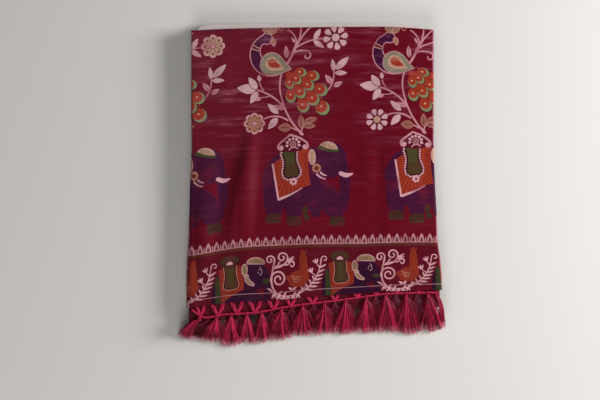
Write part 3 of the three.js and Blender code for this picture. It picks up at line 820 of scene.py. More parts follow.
    # A panel that lies evenly to both sides of its middle line. Returns its outline.
    def panel(self, start, end, halves, tone, through=0.1, edges=(), upTo=1.0):
        start, end = np.array(start, float), np.array(end, float)
        run = end - start
        share = np.linspace(0, upTo, 15)
        half = np.interp(share, np.linspace(0, 1, len(halves)), halves)
        half[0] *= 0.7
        ring = squareEnded(start + run * share[:, None], leftStep(run) * half[:, None])
        for ink, by in edges:
            self.stamp(swollen(ring, by), ink, 0.3)
        self.stamp(ring, tone, through)
        return ring


def leftStep(run):
    return np.array([-run[1], run[0]]) / np.hypot(*run)


def bowed(start, end, bow, count=15):
    start, end = np.array(start, float), np.array(end, float)
    run = end - start
    share = np.linspace(0, 1, count)[:, None]
    return start + run * share + leftStep(run) * bow * 4 * share * (1 - share)


# A cloth with straight or bowed sides, from its corners.
def bowedRing(corners, bows):
    ends = corners[1:] + corners[:1]
    return np.concatenate([bowed(start, end, bow, 9)[:-1] for start, end, bow in zip(corners, ends, bows)])


def bandAcross(low, high, tone, through=0.0):
    stations = np.linspace(-printReach["bands"], printReach["bands"], 75)
    points = [(u, low) for u in stations] + [(u, high) for u in stations[::-1]]
    addInk(points, tone, through)


# The cloth was pulled a little out of square, so the print above the hem wanders up and down.
swaying = {
    "u": [-185, -145, -99, -69, -34, 7, 65, 150, 185],
    "up": [-1.6, -0.9, 1.7, 3.2, 2.7, 0.9, -1.8, -2.5, -2.6],
    "fullFrom": 38,
    "endsAt": 180,
    "fadesOver": 118,
}
sway = lineThrough(swaying["u"], swaying["up"])


def swayed(points):
    up = points[:, 1]
    rising = np.clip(up / swaying["fullFrom"], 0, 1)
    share = rising * np.clip((swaying["endsAt"] - up) / swaying["fadesOver"], 0, 1)
    return np.stack([points[:, 0], up + sway(points[:, 0]) * share], 1)


# Points spaced evenly along a line.
def spacedAlong(line, spacing):
    length = np.concatenate([[0], np.cumsum(np.hypot(*np.diff(line, axis=0).T))])
    stops = np.arange(0, length[-1], spacing)
    return np.stack([np.interp(stops, length, line[:, 0]), np.interp(stops, length, line[:, 1])], 1)


elephant = {
    "ovals": [((-15, 141), 37, 37, 0), ((8, 158), 26, 22, 10), ((30, 163), 20, 22, -12)],
    "limbs": [
        ([(-36, 134), (-40, 118), (-37, 100)], (30, 22, 17)), ([(-14, 120), (-13, 100)], (26, 18)),
        ([(8, 124), (14, 112), (13, 100)], (24, 14, 12)),
        ([(10, 126), (28, 118), (38, 99)], (38, 32, 17)),
        ([(40, 166), (48, 146), (49, 124), (45, 104)], (20, 13.6, 12, 10)),
        ([(-28, 113), (8, 109)], (12, 13)),
    ],
    "saddle": [(-38, 162), (5, 178.5), (7, 134), (-31, 118)],
    "saddleBows": (4, -2, -2, 0),
    "plate": {"from": (-15.5, 145), "to": (-19.5, 176.5), "halves": (7.5, 8.6, 6.6, 5.4, 6.2, 7.6)},
    "feet": [(-38, 96), (-13, 92), (39, 90)],
    "howdah": (-14.4, 184.5),
}


# How far a ray runs inside a ring before it leaves it.
def reachInside(ring, start, way):
    reach = 0.0
    for (ax, ay), (bx, by) in zip(ring, np.roll(ring, -1, axis=0)):
        ex, ey = bx - ax, by - ay
        cross = way[0] * ey - way[1] * ex
        if abs(cross) < 1e-9:
            continue
        t = ((ax - start[0]) * ey - (ay - start[1]) * ex) / cross
        s = ((ax - start[0]) * way[1] - (ay - start[1]) * way[0]) / cross
        if t > 0 and 0 <= s <= 1:
            reach = max(reach, t)
    return reach


def stampFoot(block, foot):
    x, low, high = foot[0], foot[1] - 5.6, foot[1] + 5.2
    block.shape([(x - 9.5, low), (x + 9.5, low), (x + 9, high), (x - 9, high)], "foot", 0.9, passes=1)
    for k in range(3):
        up = low + 3.4 + k * 2.9
        block.stroke([(x - 8.4, up), (x + 8.4, up)], 0.8, "dark")
    for k in range(4):
        block.disc((x - 7 + k * 4.7, low + 0.6), 2.1, "foot", 0.9, 8)


def stampHowdah(block, middle):
    x, y = middle
    block.oval((x, y + 1), 17, 10.5, "groundDark", 0.1)
    peak = (x - 3.5, y + 11.6)
    for hand in (-1, 1):
        block.curl((x + 14.2 * hand, y - 3.0), 4.0, 0.8, 90 - 75 * hand, -hand, 2.5, "cream",
                   [peak, (x + 9 * hand, y + 7.2), (x + 16.5 * hand, y + 1.6)])
        block.disc((x + 14.2 * hand, y - 3.0), 2.2, "pale", 0.6, 12)
    for k in range(7):
        way = math.radians(-12 + k * 34)
        block.leaf(outAt(middle, 5.4, way, 5), outAt(middle, 9.8, way, 8.6), 3.4, "pale")
    for radius, tone in ((3.9, "cream"), (3.0, "stemLine"), (1.8, "beige")):
        block.disc(middle, radius, tone, 0.5, 14)
    block.stem((x - 5, y - 7), (x + 6, y - 6), 3, 1.5)


def stampElephant(block):
    e = elephant
    for centre, across, up, lean in e["ovals"]:
        block.oval(centre, across, up, "purple", 0.75, lean)
    for stations, widths in e["limbs"]:
        block.limb(stations, widths, "purple", 0.75)
    block.stem((-22, 111), (24, 111), 3, 1.2, 0.6, "purpleDark", 0.1)
    block.stem((46, 168), (45, 114), 2.5, 1.2, 0.8, "purpleDark", 0.1)
    for foot in e["feet"]:
        stampFoot(block, foot)
    block.limb([(0, 105), (0, 98), (2, 94)], (7, 5, 8), "foot", 0.5)
    block.stroke([(-3, 99), (3.5, 99)], 0.9, "dark")
    saddle = bowedRing(e["saddle"], e["saddleBows"])
    block.shape(saddle, "orange", 0.1)
    middle = (-16, 160)
    for k in range(36):
        way = math.radians(96 + k * 8.6)
        step = (math.cos(way), math.sin(way))
        far = reachInside(saddle, middle, step) - 1.6
        near = 15.5 + 4.5 * max(0.0, -step[1])
        if far > near + 1 and not 60 < math.degrees(way) % 360 < 120:
            run = [(middle[0] + step[0] * r, middle[1] + step[1] * r) for r in (near, far)]
            block.stroke(run, 0.9, "orangeDark", 1.3, 0.2)
    block.stroke([(-39, 162), (-32, 117)], 2.3, "pale")
    block.stem((-32, 118), (-3, 131), -1, 3.6, 0.8, "pale")
    plate = e["plate"]
    ring = block.panel(plate["from"], plate["to"], plate["halves"], "plate", 0.1, [("dark", 4.6)])
    block.panel(plate["from"], plate["to"], plate["halves"], "plateLow", 0.1, upTo=0.46)
    beads = swollen(ring, 3.0)
    for bead in spacedAlong(np.roll(beads, -15, axis=0), 2.9):
        if bead[1] < 176.5:
            block.disc(bead, 1.25, "pale", 0.35, 8)
    for k in range(6):
        block.disc(outAt((-14, 139), 3.1, k * np.pi / 3 + 0.3), 1.75, "pale", 0.4, 8)
    block.disc((-14, 139), 1.4, "orangeDark", 0.3, 8)
    stampHowdah(block, e["howdah"])
    block.oval((8.6, 167.8), 3.6, 9.0, "beigePale", 0.5, 4, "pale")
    for k in range(4):
        block.disc((8.4, 162 + k * 3.9), 0.8, "orangeDark", 0.3, 6)
    block.disc((14, 154), 6.1, "dark", 0.1, 16)
    block.disc((14, 154), 5.5, "beige", 0.4, 16)
    block.scalloped((14, 154), 3.1, 6, "orangeDark", "beige", "dark", "foot")
    block.stem((18.5, 149.5), (26, 145), -1.2, 2.5, 1.6, "pale")
    block.stem((14, 147.5), (25, 140.5), -1.4, 2.5, 1.6, "pale")
    block.limb([(43, 147), (50, 143.8), (58, 146.4)], (4.8, 5.6, 0.6), "pale", 0.4)
    block.stem((31, 164.5), (39.5, 159), 2.2, 1.1, 0.5, "foot")
    block.stem((32.5, 162.4), (37, 161.4), 0.4, 0.8, 0.5, "dark")
    block.oval((28.4, 178), 10.4, 7.0, "beigePale", 0.6, -14, "pale", 0.8, (0, 180))
    for k in range(9):
        block.disc((22 + (k % 5) * 3.1, 181 + (k // 5) * 2.6 - (k % 5) * 0.8), 0.7, "orangeDark", 0.5, 6)
    block.stem((16, 180.4), (41, 174.2), -1.6, 4.2, 2.8, "bandGreen", 0.2)


# Stems run from, to, bow and two widths. Leaves run from, to, width, tone and rib or edge.
tree = {
    "stems": [
        ((-2, 195), (-28, 240), 4, 2.7, 1.9), ((-28, 240), (-28, 270), 2.4, 1.9, 1.8),
        ((-23, 279), (-10, 305), -1, 2.6, 3.4), ((-10, 303), (-5, 330), -2, 2.4, 1.6),
        ((-10, 303), (13, 330), 2, 2.4, 1.6), ((-14, 298), (24, 311), 3.4, 2.0, 1.5),
        ((-10, 305), (-21, 322), -3, 2.2, 1.3), ((18, 239), (35, 273), -5.5, 1.5, 1.7),
        ((-26, 230), (-58, 251), -3, 2.5, 1.7), ((-50, 250), (-55, 262), 1, 1.5, 1.1),
        ((-41, 244), (-53, 242), 0.8, 1.3, 1.0), ((-20, 213), (-50, 216), -4.4, 2.2, 1.6),
        ((-10, 201), (-22, 206), -0.6, 2.0, 1.2), ((-5, 197), (2, 210), 1.4, 2.1, 1.2),
    ],
    "leaves": [
        ((11, 310), (19, 323), 6.4, "lilac"), ((10.5, 308.5), (23, 299.5), 6.2, "lilac"),
        ((37, 273), (53, 288.5), 8.4, "lilac"), ((36, 269), (51, 268.6), 6.2, "lilac"),
        ((35, 271), (33, 286), 6.0, "lilac"), ((-59, 251), (-82, 254), 11.5, "lilac"),
        ((-58, 252), (-68, 266), 8.4, "lilac"), ((-57, 249), (-66, 235), 8.4, "lilac"),
        ((-55, 261), (-55.5, 269), 5.0, "lilac"), ((-53, 242), (-59, 238), 4.4, "cream"),
        ((-32, 222), (-45, 234), 7.4, "lilac"), ((-33, 217), (-44.5, 204), 8.4, "lilac"),
        ((-12, 306), (-16, 313), 2.8, "cream"),
    ],
    "ribbed": [
        ((-22, 288), (-23, 303), 5.8, "cream"), ((33, 256), (24.5, 267), 6.6, "cream"),
        ((34.5, 252.5), (45, 258), 6.0, "cream"), ((-25, 227), (-37.5, 232), 5.2, "cream"),
    ],
    "beige": [
        ((-17.5, 204.5), (-32, 205.5), 10.4), ((-4.6, 204), (-5, 219), 7.2),
        ((0, 211), (14, 214.5), 6.8), ((-1, 206), (12, 205.5), 6.4),
    ],
}


def stampTree(block, beigeTop, beigeLow):
    for start, end, bow, width, endWidth in tree["stems"]:
        block.stem(start, end, bow, width, endWidth)
    block.stem((-32, 325), (-25.5, 325), -4, 1.1, 1.1, "beige")
    block.curl((2, 290.4), 6.4, 0.85, 100, -1, 1.9, "cream", [(-15.6, 292.6), (-9, 297)])
    for base, tip, width, tone in tree["leaves"]:
        block.leaf(base, tip, width, tone, edge="stemLine" if tone == "lilac" and tip[0] < -40 else None)
    for base, tip, width, tone in tree["ribbed"]:
        block.leaf(base, tip, width, tone, "stemLine")
    for base, tip, width in tree["beige"]:
        block.leaf(base, tip, width * 0.86, "beigeLeaf", "stemLine", "beige")
    if beigeTop:
        block.scalloped((37, 312), 14.6, 8, "beigePale", "pale", "cream")
    else:
        block.petals((37, 312), 15.2, 8, 10, "lilac", "stemLine", "lilac")
    if beigeLow:
        block.scalloped((-61, 211), 12.8, 8, "beige", "pale", "cream")
    else:
        block.petals((-61, 211), 13.4, 8, 20, "lilac", "stemLine", "beigePale")
    block.disc((-4.6, 197), 2.1, "cream", 0.5, 10)


peacock = {
    "root": (-24, 277),
    "fan": [(20, (-18, -46, -74)), (35.5, (-18, -38, -59, -79)), (51.5, (-33, -49, -65)), (67, (-48,))],
    "bow": {
        "middle": (-41, 292.5),
        "radius": 24.6,
        "turn": (103, 135, 165, 205, 245, 292),
        "wide": (9, 7.6, 10, 13.5, 10, 2),
    },
    "head": (-46, 311.8),
    "body": {"middle": (-40, 282.5), "radius": 13.2, "tip": (-16.5, 275)},
    "inner": {"middle": (-39.5, 283), "radius": 8.2, "tip": (-23.5, 274.5)},
    "flame": {"middle": (-39, 283.4), "radius": 4.9, "tip": (-28, 277.6)},
}


def stampPeacock(block):
    p = peacock
    block.limb([(-19, 268), (-5, 255), (8, 241)], (8, 30, 24), "orange", 0.1)
    for reach, turns in reversed(p["fan"]):
        for turn in turns:
            centre = outAt(p["root"], reach, math.radians(turn))
            block.feather(centre, 6.2 + 0.05 * reach, 3.9 + 0.066 * reach, p["root"])
    bow = p["bow"]
    turn = np.linspace(bow["turn"][0], bow["turn"][-1], 26)
    wide = np.interp(turn, bow["turn"], bow["wide"])
    line = ringAt(bow["middle"], bow["radius"] - wide / 2, np.radians(turn))
    block.disc(p["head"], 7.3, "cream", 0.7, 20)
    block.limb(line, wide, "purple", 0.15, "cream", 1.3)
    block.disc(p["head"], 6.1, "purple", 0.15, 20)
    block.disc((-47.4, 312.8), 2.4, "eyePurple", 0.2, 12)
    for turn, tone, width in ((151, "beigePale", 1.1), (156.5, "orangeDark", 1.5), (162, "beigePale", 1.1)):
        ends = [outAt(bow["middle"], reach, math.radians(turn)) for reach in (15.4, 24.8)]
        block.stroke(ends, width, tone, through=0.3)
    block.leaf((-40.6, 311.5), (-37.6, 302.6), 5.6, "beige", None, "cream", 1.0)
    for turn in (142, 92, 42):
        tip = outAt((-42, 318), 11.4, math.radians(turn), 9.6)
        block.leaf((-42, 318), tip, 5.4, "crestBrown", "heart", "heart")
    for key, tone, through, edge in (("body", "greyGreen", 0.5, "cream"), ("inner", "beigePale", 0.5, None),
                                     ("flame", "orange", 0.6, None)):
        part = p[key]
        block.drop(part["middle"], part["radius"], part["tip"], tone, through, edge, 0.9, -1.2)
    for turn in (150, 95, 40):
        block.leaf((-39.4, 283), outAt((-39.4, 283), 8, math.radians(turn), 5.6), 2.8, "flameEdge")
    block.stem((-39.5, 286.4), (-31, 280.6), 0.8, 0.7, 0.5, "beigePale")
    for k in range(14):
        block.disc(outAt((-40, 282.5), 11.2, math.radians(40 + k * 19)), 0.5, "pale", 0.3, 6)


border = {
    "stitchAt": 7.6,
    "stitchWide": 0.85,
    "lineAt": 58.0,
    "toothFoot": 62.2,
    "tooth": 10.4,
    "pitch": 9.9,
    "repeat": 133.0,
    "first": 33.8,
}


def drawBorderGround():
    bandAcross(-1, border["lineAt"], "borderGround")
    bandAcross(border["lineAt"], border["toothFoot"] - 0.8, "olive", 0.3)
    bandAcross(border["toothFoot"] - 0.8, border["toothFoot"] + 0.6, "tooth", 0.9)
    foot, tall, pitch = border["toothFoot"], border["tooth"], border["pitch"]
    side = np.linspace(0, 1, 7)
    bell = np.stack([-0.35 * np.cos(side * np.pi / 2) ** 0.8, 1.04 * side ** 0.9], 1)
    bell = np.concatenate([bell, (bell * (-1, 1))[-2::-1]])
    parts = ((1.0, 0.0, 1.0, "toothRim", 0.8), (0.66, 0.08, 0.62, "tooth", 0.9),
             (0.34, 0.06, 0.42, "olive", 0.3))
    for i in range(-18, 19):
        centre = i * pitch + 2.4
        for wide, low, high, tone, through in parts:
            addInk(bell * (pitch * wide, tall * high) + (centre, foot + low * tall), tone, through)
        edge = centre - 0.5 * pitch
        addInk([(edge - 0.55, foot), (edge + 0.55, foot), (edge + 0.4, foot + tall * 0.62),
                (edge - 0.4, foot + tall * 0.62)], "toothRim", 0.5)


borderElephant = {
    "ovals": [((3, 12), 26, 29), ((30, 27), 16, 15)],
    "limbs": [
        ([(-17, 16), (-17, -6)], (12, 12)), ([(6, 8), (8, -4)], (34, 34)),
        ([(26, 2), (32, -6)], (20, 24)), ([(41, 28), (44, 12), (43, -5)], (12, 8, 8)),
    ],
    "saddle": [(-15, 38.5), (14.5, 40), (15.5, 13), (-11, 0)],
    "saddleBows": (1, 0.5, -1, 0),
    "plate": {"from": (0.5, 16), "to": (-1.2, 42), "halves": (7.6, 7.4, 5.8, 5.2, 5.4, 6.2)},
}


def stampBorderElephant(block):
    e = borderElephant
    for centre, across, up in e["ovals"]:
        block.oval(centre, across, up, "purpleLow", 0.05)
    for stations, widths in e["limbs"]:
        block.limb(stations, widths, "purpleLow", 0.05)
    block.oval((42.5, 21.5), 4.4, 2.7, "leafLow", 0.3)
    block.limb([(-17, 30), (-15, 14), (-13, -2)], (3, 7, 14), "leafLow", 0.2)
    block.shape(bowedRing(e["saddle"], e["saddleBows"]), "orangeLow", 0.25)
    for k in range(3):
        block.stem((-11.6, 9 - k * 2.6), (8 - k * 3, 12.6 - k * 1.4), -0.5, 0.7, 0.7, "orangeDark")
    for k in range(6):
        block.stroke([(9.5 + k * 0.2, 20 + k * 3.3), (14.4, 19.4 + k * 3.3)], 0.7, "orangeDark")
        block.stroke([(-13.4 - k * 0.2, 17 + k * 3.7), (-9.6, 17.6 + k * 3.7)], 0.6, "orangeDark")
    plate = e["plate"]
    edges = [("beige", 2.4), ("purpleDark", 1.4)]
    block.panel(plate["from"], plate["to"], plate["halves"], "plateLow", 0.2, edges)
    block.stem((0.4, 21), (-1, 38), 0.4, 3.0, 2.4, "plate", 0.3)
    block.oval((-1.6, 47.4), 12, 6.4, "capBrown", 0.4, 0, "dark", 0.8)
    for k in range(6):
        block.disc((-10.4 + k * 3.6, 49.3 - abs(k - 2.4) * 0.8), 1.15, "plate", 0.4, 8)
    block.oval((-1.4, 42.8), 3.9, 3.8, "pale", 0.3, 0, None, 0, (0, 180))
    block.oval((16.6, 34.8), 2.9, 6.2, "beigeLow", 0.3, 0, "pale", 0.8)
    for k in range(3):
        block.disc((16.5, 32 + k * 2.8), 0.7, "foot", 0.3, 6)
    block.disc((18.8, 27.2), 2.9, "pale", 0.4, 12)
    block.disc((18.8, 27.2), 1.6, "beigeLow", 0.2, 10)
    block.limb([(19.4, 24), (22, 20.4), (27, 18)], (4.2, 4, 1.6), "beigeLow", 0.4, "pale", 0.8)
    block.oval((30, 41.2), 10.6, 6.8, "beigeLow", 0.3, -4, "pale", 0.8, (0, 180))
    for k in range(4):
        block.stroke([(24.6 + k * 3.5, 46 - abs(k - 1.2) * 0.8), (26 + k * 3.2, 41.8)], 0.7, "foot")
    for spot in ((33, 31), (35.5, 28.5), (34, 34)):
        block.disc(spot, 0.7, "lilac", 0.5, 6)
    block.stem((35, 37), (37, 29), 1.2, 0.8, 0.5, "lilac")


def stampScrolls(block):
    for centre, radius, turns, start, hand, width, tail in (
            ((47.2, 44.8), 5.8, 1.25, -8, 1, 1.9, [(56, 5.5), (48.6, 16), (50, 32)]),
            ((62, 47.2), 7.0, 1.3, -30, 1, 1.9, [(52, 35), (61, 36.6), (67, 41)]),
            ((57.6, 22.6), 9.4, 1.5, 158, -1, 2.0, [(48, 20)]),
            ((59.8, 38.6), 3.2, 0.85, 90, 1, 1.5, []),
            ((73.4, 38), 4.2, 0.85, 110, -1, 1.6, [(64, 38.4), (69, 38)])):
        block.curl(centre, radius, turns, start, hand, width, "pale", tail)
    for k in range(3):
        block.leaf((68, 43.6 - k), (77, 48.2 - k * 3), 1.9, "pale")
    block.leaf((52, 35), (58, 39), 1.8, "pale")
    block.stem((45.5, 12.5), (88, 7.8), -7, 1.6, 1.4, "pale")
    block.leaf((49.5, 10.5), (43.5, 13.5), 2.0, "pale")
    for k in range(6):
        middle = (52 + k * 5.8, 8.6 - 5.6 * math.sin((k + 0.6) * 0.42))
        block.leaf(middle, (middle[0] - 2.6, middle[1] - 5.6), 2.2, "pale")
        block.leaf(middle, (middle[0] + 2.6, middle[1] - 5.2), 1.9, "pale")
        if k not in (0, 3):
            block.leaf(middle, (middle[0] + 3.6, middle[1] + 4.4), 1.9, "pale")
    for hand in (-1, 1):
        block.leaf((74.5, 9.4), (74.5 + 4.9 * hand, 12.7), 2.8, "pale")


def stampBird(block):
    block.oval((81.6, 22), 12.6, 9.6, "orangeLow", 0.2, 14)
    block.limb([(88, 24), (87.6, 36), (87.2, 45)], (13, 10, 8.4), "orangeLow", 0.2)
    block.leaf((78, 20), (66.5, 25), 9, "orangeLow")
    block.disc((87.2, 46.4), 4.6, "orangeLow", 0.2, 14)
    for turn in (118, 88, 58):
        block.leaf((87.4, 49), outAt((87.4, 49), 8, math.radians(turn), 7.6), 2.5, "orangeLow")
    block.disc((86.4, 46.6), 0.8, "foot", 0.1, 6)
    block.stem((83.6, 40), (83, 28), 0.8, 0.8, 0.6, "orangeDark")
    for k in range(3):
        block.stem((73 + k * 1.4, 26 - k * 3.0), (84.4 - k * 0.8, 24.6 - k * 2.8), -1.6, 1.2, 0.7, "beige")
    block.stem((71, 19), (84, 16), -1.2, 0.8, 0.8, "orangeDark")


def stampSprig(block):
    block.stem((78, 3.2), (108, 36), -6.4, 1.5, 1.4, "pale")
    block.curl((113, 43.4), 4.2, 0.8, 150, -1, 1.4, "pale", [(107, 33.5), (108.6, 39)])
    line = bowed((78, 3.2), (108, 36), -6.4, 101)
    for k in range(7):
        base = line[28 + k * 11]
        block.leaf(base, outAt(base, 10 + 1.2 * math.sin(k), math.radians(-8 + k * 6)), 2.2, "pale")
    for k in range(4):
        base = line[22 + k * 13]
        block.leaf(base, outAt(base, 6.4, math.radians(122 - k * 3)), 2.1, "pale")
    for root, cup in ((line[72], (97.4, 28)), (line[94], (103.4, 38.6))):
        block.stroke([root, cup], 1.1, "pale")
        for turn in (142, 108, 74):
            block.leaf(cup, outAt(cup, 6.4, math.radians(turn)), 2.1, "pale")
    for spot in ((84.5, 8.6), (88, 11.4)):
        block.curl(spot, 1.8, 0.8, 200, 1, 1.0, "pale")


foldHighlights = {"width": 1.3, "hemY": -150.0, "length": 330}


# A painted highlight runs along the cloth's folded edges.
def drawFoldHighlights():
    up = np.linspace(0, foldHighlights["length"], 60)
    y = foldHighlights["hemY"] + up
    for edge, inward in ((leftEdge, 1), (rightEdge, -1)):
        near = np.stack([edge(y), up], 1)
        addInk(np.concatenate([near, near[::-1] + (inward * foldHighlights["width"], 0)]), "stitch", 0.9)


# The tall motifs. The left one was printed a little shorter above the elephant.
tallRow = {"first": -9.7, "repeat": 148, "stretchFrom": 180.0, "leftStretch": 0.945}


def drawPrint():
    drawBorderGround()
    for repeat in (-2, -1, 0, 1):
        block = PrintBlock(border["first"] + border["repeat"] * repeat)
        stampBorderElephant(block)
        stampBird(block)
        stampScrolls(block)
        stampSprig(block)
    # The painted highlights along the folded edges.
    drawFoldHighlights()
    bandAcross(border["stitchAt"], border["stitchAt"] + border["stitchWide"], "stitch", 0.6)
    row = tallRow
    for repeat in (-1, 0, 1):
        stretch = row["leftStretch"] if repeat < 0 else 1.0
        block = PrintBlock(row["first"] + row["repeat"] * repeat, row["stretchFrom"], stretch)
        stampTree(block, repeat < 0, repeat < 1)
        stampPeacock(block)
        stampElephant(block)


drawPrint()
print("print drawn,", len(inks), "shapes")

pallu = {
    "wall": 0.9,
    "grid": 3.1,
    "rollSteps": 9,
    "farSteps": 5,
    "edgePoints": 90,
    "sheet": (0.312, 0.331),  # metres
}


def palluDomain():
    height = folded["panelHeight"]
    top = height + rollArc(*palluPanel["farRoll"])

    def edges(w):
        y = hem(0) + np.clip(w / height, 0, 1) * (topFold(0) - hem(0))
        left = leftEdge(y) + palluPanel["leftReach"](y)
        right = rightEdge(y) - palluPanel["rightReach"](y)
        leftArc = rollArc(palluPanel["leftReach"](y), palluPanel["leftDrop"](y))
        rightArc = rollArc(palluPanel["rightReach"](y), palluPanel["rightDrop"](y))
        return left, right, left - leftArc, right + rightArc

    return top, edges


def triangulatePrint():
    top, edges = palluDomain()
    height, step = folded["panelHeight"], pallu["grid"]
    rows = np.concatenate([
        np.linspace(0, height, int(height / step) + 1),
        height + (top - height) * np.arange(1, pallu["farSteps"] + 1) / pallu["farSteps"],
    ])
    points, loops = [], []

    def addLoop(loop):
        start = len(points)
        points.extend((float(x), float(y)) for x, y in loop)
        loops.extend((start + i, start + (i + 1) % len(loop)) for i in range(len(loop)))

    left = [(edges(w)[2], w) for w in rows]
    right = [(edges(w)[3], w) for w in rows]
    acrossFew = np.linspace(0, 1, pallu["edgePoints"])[1:-1]
    bottom = [(left[0][0] + (right[0][0] - left[0][0]) * t, rows[0]) for t in acrossFew]
    upper = [(left[-1][0] + (right[-1][0] - left[-1][0]) * t, rows[-1]) for t in acrossFew]
    outline = left[::-1] + bottom + right + upper[::-1]
    addLoop(outline)
    for w in rows[1:-1]:
        inLeft, inRight, outLeft, outRight = edges(w)
        count = int((inRight - inLeft) / step)
        flat = np.linspace(inLeft, inRight, count + 1)
        turned = np.arange(1, pallu["rollSteps"]) / pallu["rollSteps"]
        leftTurn = inLeft + (outLeft - inLeft) * turned
        rightTurn = inRight + (outRight - inRight) * turned
        across = np.concatenate([leftTurn, flat, rightTurn])
        points.extend((float(u), float(w)) for u in across)
    box = np.array(outline)
    low, high = box.min(axis=0) + 0.05, box.max(axis=0) - 0.05
    for shape, _, _ in inks:
        clipped = np.clip(shape, low, high)
        addLoop(clipped)
    made = delaunay_2d_cdt(points, loops, [], 0, 1e-3, False)
    coords = np.array([tuple(p) for p in made[0]])
    faces = np.array([f for f in made[2] if len(f) == 3])
    middle = coords[faces].mean(axis=1)
    inside = insideShape(middle, box)
    return coords, faces[inside], middle[inside]


def insideShape(points, shape):
    ends = np.roll(shape, -1, axis=0)
    result = np.zeros(len(points), bool)
    for (ax, ay), (bx, by) in zip(shape, ends):
        if ay == by:
            continue
        crosses = (points[:, 1] > ay) != (points[:, 1] > by)
        where = ax + (points[:, 1] - ay) / (by - ay) * (bx - ax)
        result ^= crosses & (points[:, 0] < where)
    return result


def paintFaces(middle):
    tones = {name: linearFrom(value) for name, value in inkTones.items()}
    colour = np.tile(np.array([*tones["ground"], 0.0]), (len(middle), 1))
    for shape, tone, through in inks:
        low, high = shape.min(axis=0), shape.max(axis=0)
        near = np.flatnonzero(((middle >= low) & (middle <= high)).all(axis=1))
        if len(near):
            hit = near[insideShape(middle[near], shape)]
            colour[hit] = [*tones[tone], through]
    return colour


def addPalluFront():
    coords, faces, middle = triangulatePrint()
    first, second, third = (coords[faces[:, i]] for i in range(3))
    crossing = np.cross(second - first, third - first)
    faces[crossing < 0] = faces[crossing < 0][:, ::-1]
    used, faces = np.unique(faces, return_inverse=True)
    faces = faces.reshape(-1, 3)
    coords = coords[used]
    u, w = coords[:, 0], coords[:, 1]
    outer = panelPlace(palluPanel, u, w, 0)
    inner = panelPlace(palluPanel, u, w, pallu["wall"])
    mesh = shellMesh("palluFront", outer, inner, faces)
    faceCount = len(faces)
    paint = paintFaces(middle)
    plain = np.array([*linearFrom(inkTones["ground"]), 0.0])
    everyFace = np.concatenate([paint, paint, np.tile(plain, (len(mesh.polygons) - 2 * faceCount, 1))])
    sizes = np.array([len(p.vertices) for p in mesh.polygons])
    layer = mesh.color_attributes.new("print", "FLOAT_COLOR", "CORNER")
    layer.data.foreach_set("color", np.repeat(everyFace, sizes, axis=0).ravel())
    uv = mesh.uv_layers.new(name="cloth")
    corner = np.array([l.vertex_index for l in mesh.loops]) % len(coords)
    uv.data.foreach_set("uv", (coords[corner] * mm).ravel())
    smoothMesh(mesh, 60)
    piece = addPiece("palluFront", mesh, printedCloth, ["pallu_front"])
    print("pallu front,", faceCount, "triangles on its face")
    return piece


bodyPanel = {
    "wall": 0.9,
    "inset": 3,
    "reach": 3.0,
    "drop": 2.1,
    "nearRoll": (3.0, 2.4),
    "height": 338.0,
    "columns": 90,
    "fineRows": (0, 48, 17),  # from, to and how many, where the fringe lies over it
    "coarseRows": (60, 338, 28),
    "sheet": (0.303, 0.346),  # metres
}


def gridFaces(rows, columns):
    at = np.arange(rows * columns).reshape(rows, columns)
    a, b, c, d = at[:-1, :-1].ravel(), at[:-1, 1:].ravel(), at[1:, 1:].ravel(), at[1:, :-1].ravel()
    return np.concatenate([np.stack([a, b, c], 1), np.stack([a, c, d], 1)])


def addBodyPanel():
    b = bodyPanel
    inset, reach, drop, height = b["inset"], b["reach"], b["drop"], b["height"]

    def even(value):
        return lambda y: np.full(np.shape(y), value)

    # The cloth ripples a little near its bottom fold.
    def waves(x, y):
        band = np.clip((y + 150) / -14, 0, 1)
        return band * (0.35 * np.sin(x * 0.11 + 0.6) * np.sin(x * 0.037) - 0.25)

    panel = {
        "top": folded["bodyTop"], "inset": inset,
        "leftReach": even(reach), "leftDrop": even(drop),
        "rightReach": even(reach), "rightDrop": even(drop),
        "near": bodyFold, "nearRoll": b["nearRoll"], "far": lambda x: topFold(x) - inset, "farRoll": None,
        "height": height, "lift": waves,
    }
    arc, nearArc = rollArc(reach, drop), rollArc(*b["nearRoll"])
    turned = -nearArc * np.arange(7, 0, -1) / 7
    down = np.concatenate([turned, np.linspace(*b["fineRows"]), np.linspace(*b["coarseRows"])])
    outer, inner = [], []
    for w in down:
        y = bodyFold(0) + np.clip(w / height, 0, 1) * (topFold(0) - inset - bodyFold(0))
        left, right = leftEdge(y) + inset + reach, rightEdge(y) - inset - reach
        turned = np.arange(1, 8) / 7 * arc
        flat = np.linspace(left, right, b["columns"])
        across = np.concatenate([left - turned[::-1], flat, right + turned])
        outer.append(panelPlace(panel, across, np.full(len(across), w), 0))
        inner.append(panelPlace(panel, across, np.full(len(across), w), b["wall"]))
    faces = gridFaces(len(down), len(outer[0]))
    mesh = shellMesh("bodyPanel", np.concatenate(outer), np.concatenate(inner), faces)
    smoothMesh(mesh, 60)
    piece = addPiece("bodyPanel", mesh, plainCloth, ["body_panel"])
    print("body panel made")
    return piece


layers = {
    "under": {"bottom": 0.0, "top": 9.0, "count": 9, "left": 1.2, "right": 1.2, "near": 0.9, "far": 0.5},
    "over": {"bottom": 11.1, "top": 15.0, "count": 4, "left": 5.2, "right": 5.2, "near": 2.8, "far": 2.6},
    "inner": {"bottom": folded["innerBottom"], "top": folded["innerTop"], "count": 3,
              "left": 7.8, "right": 4, "near": 3, "far": 3},
}
sidePoints = 60
layerSteps = [0.7, 0.1, 0.5, 0.0, 0.9, 0.3, 0.6, 0.2, 0.8]  # how far in each layer of a stack lies
layerEdge = [(0.0, 1.1), (0.12, 0.55), (0.3, 0.15), (0.5, 0.0), (0.7, 0.15), (0.88, 0.55)]  # up, and in


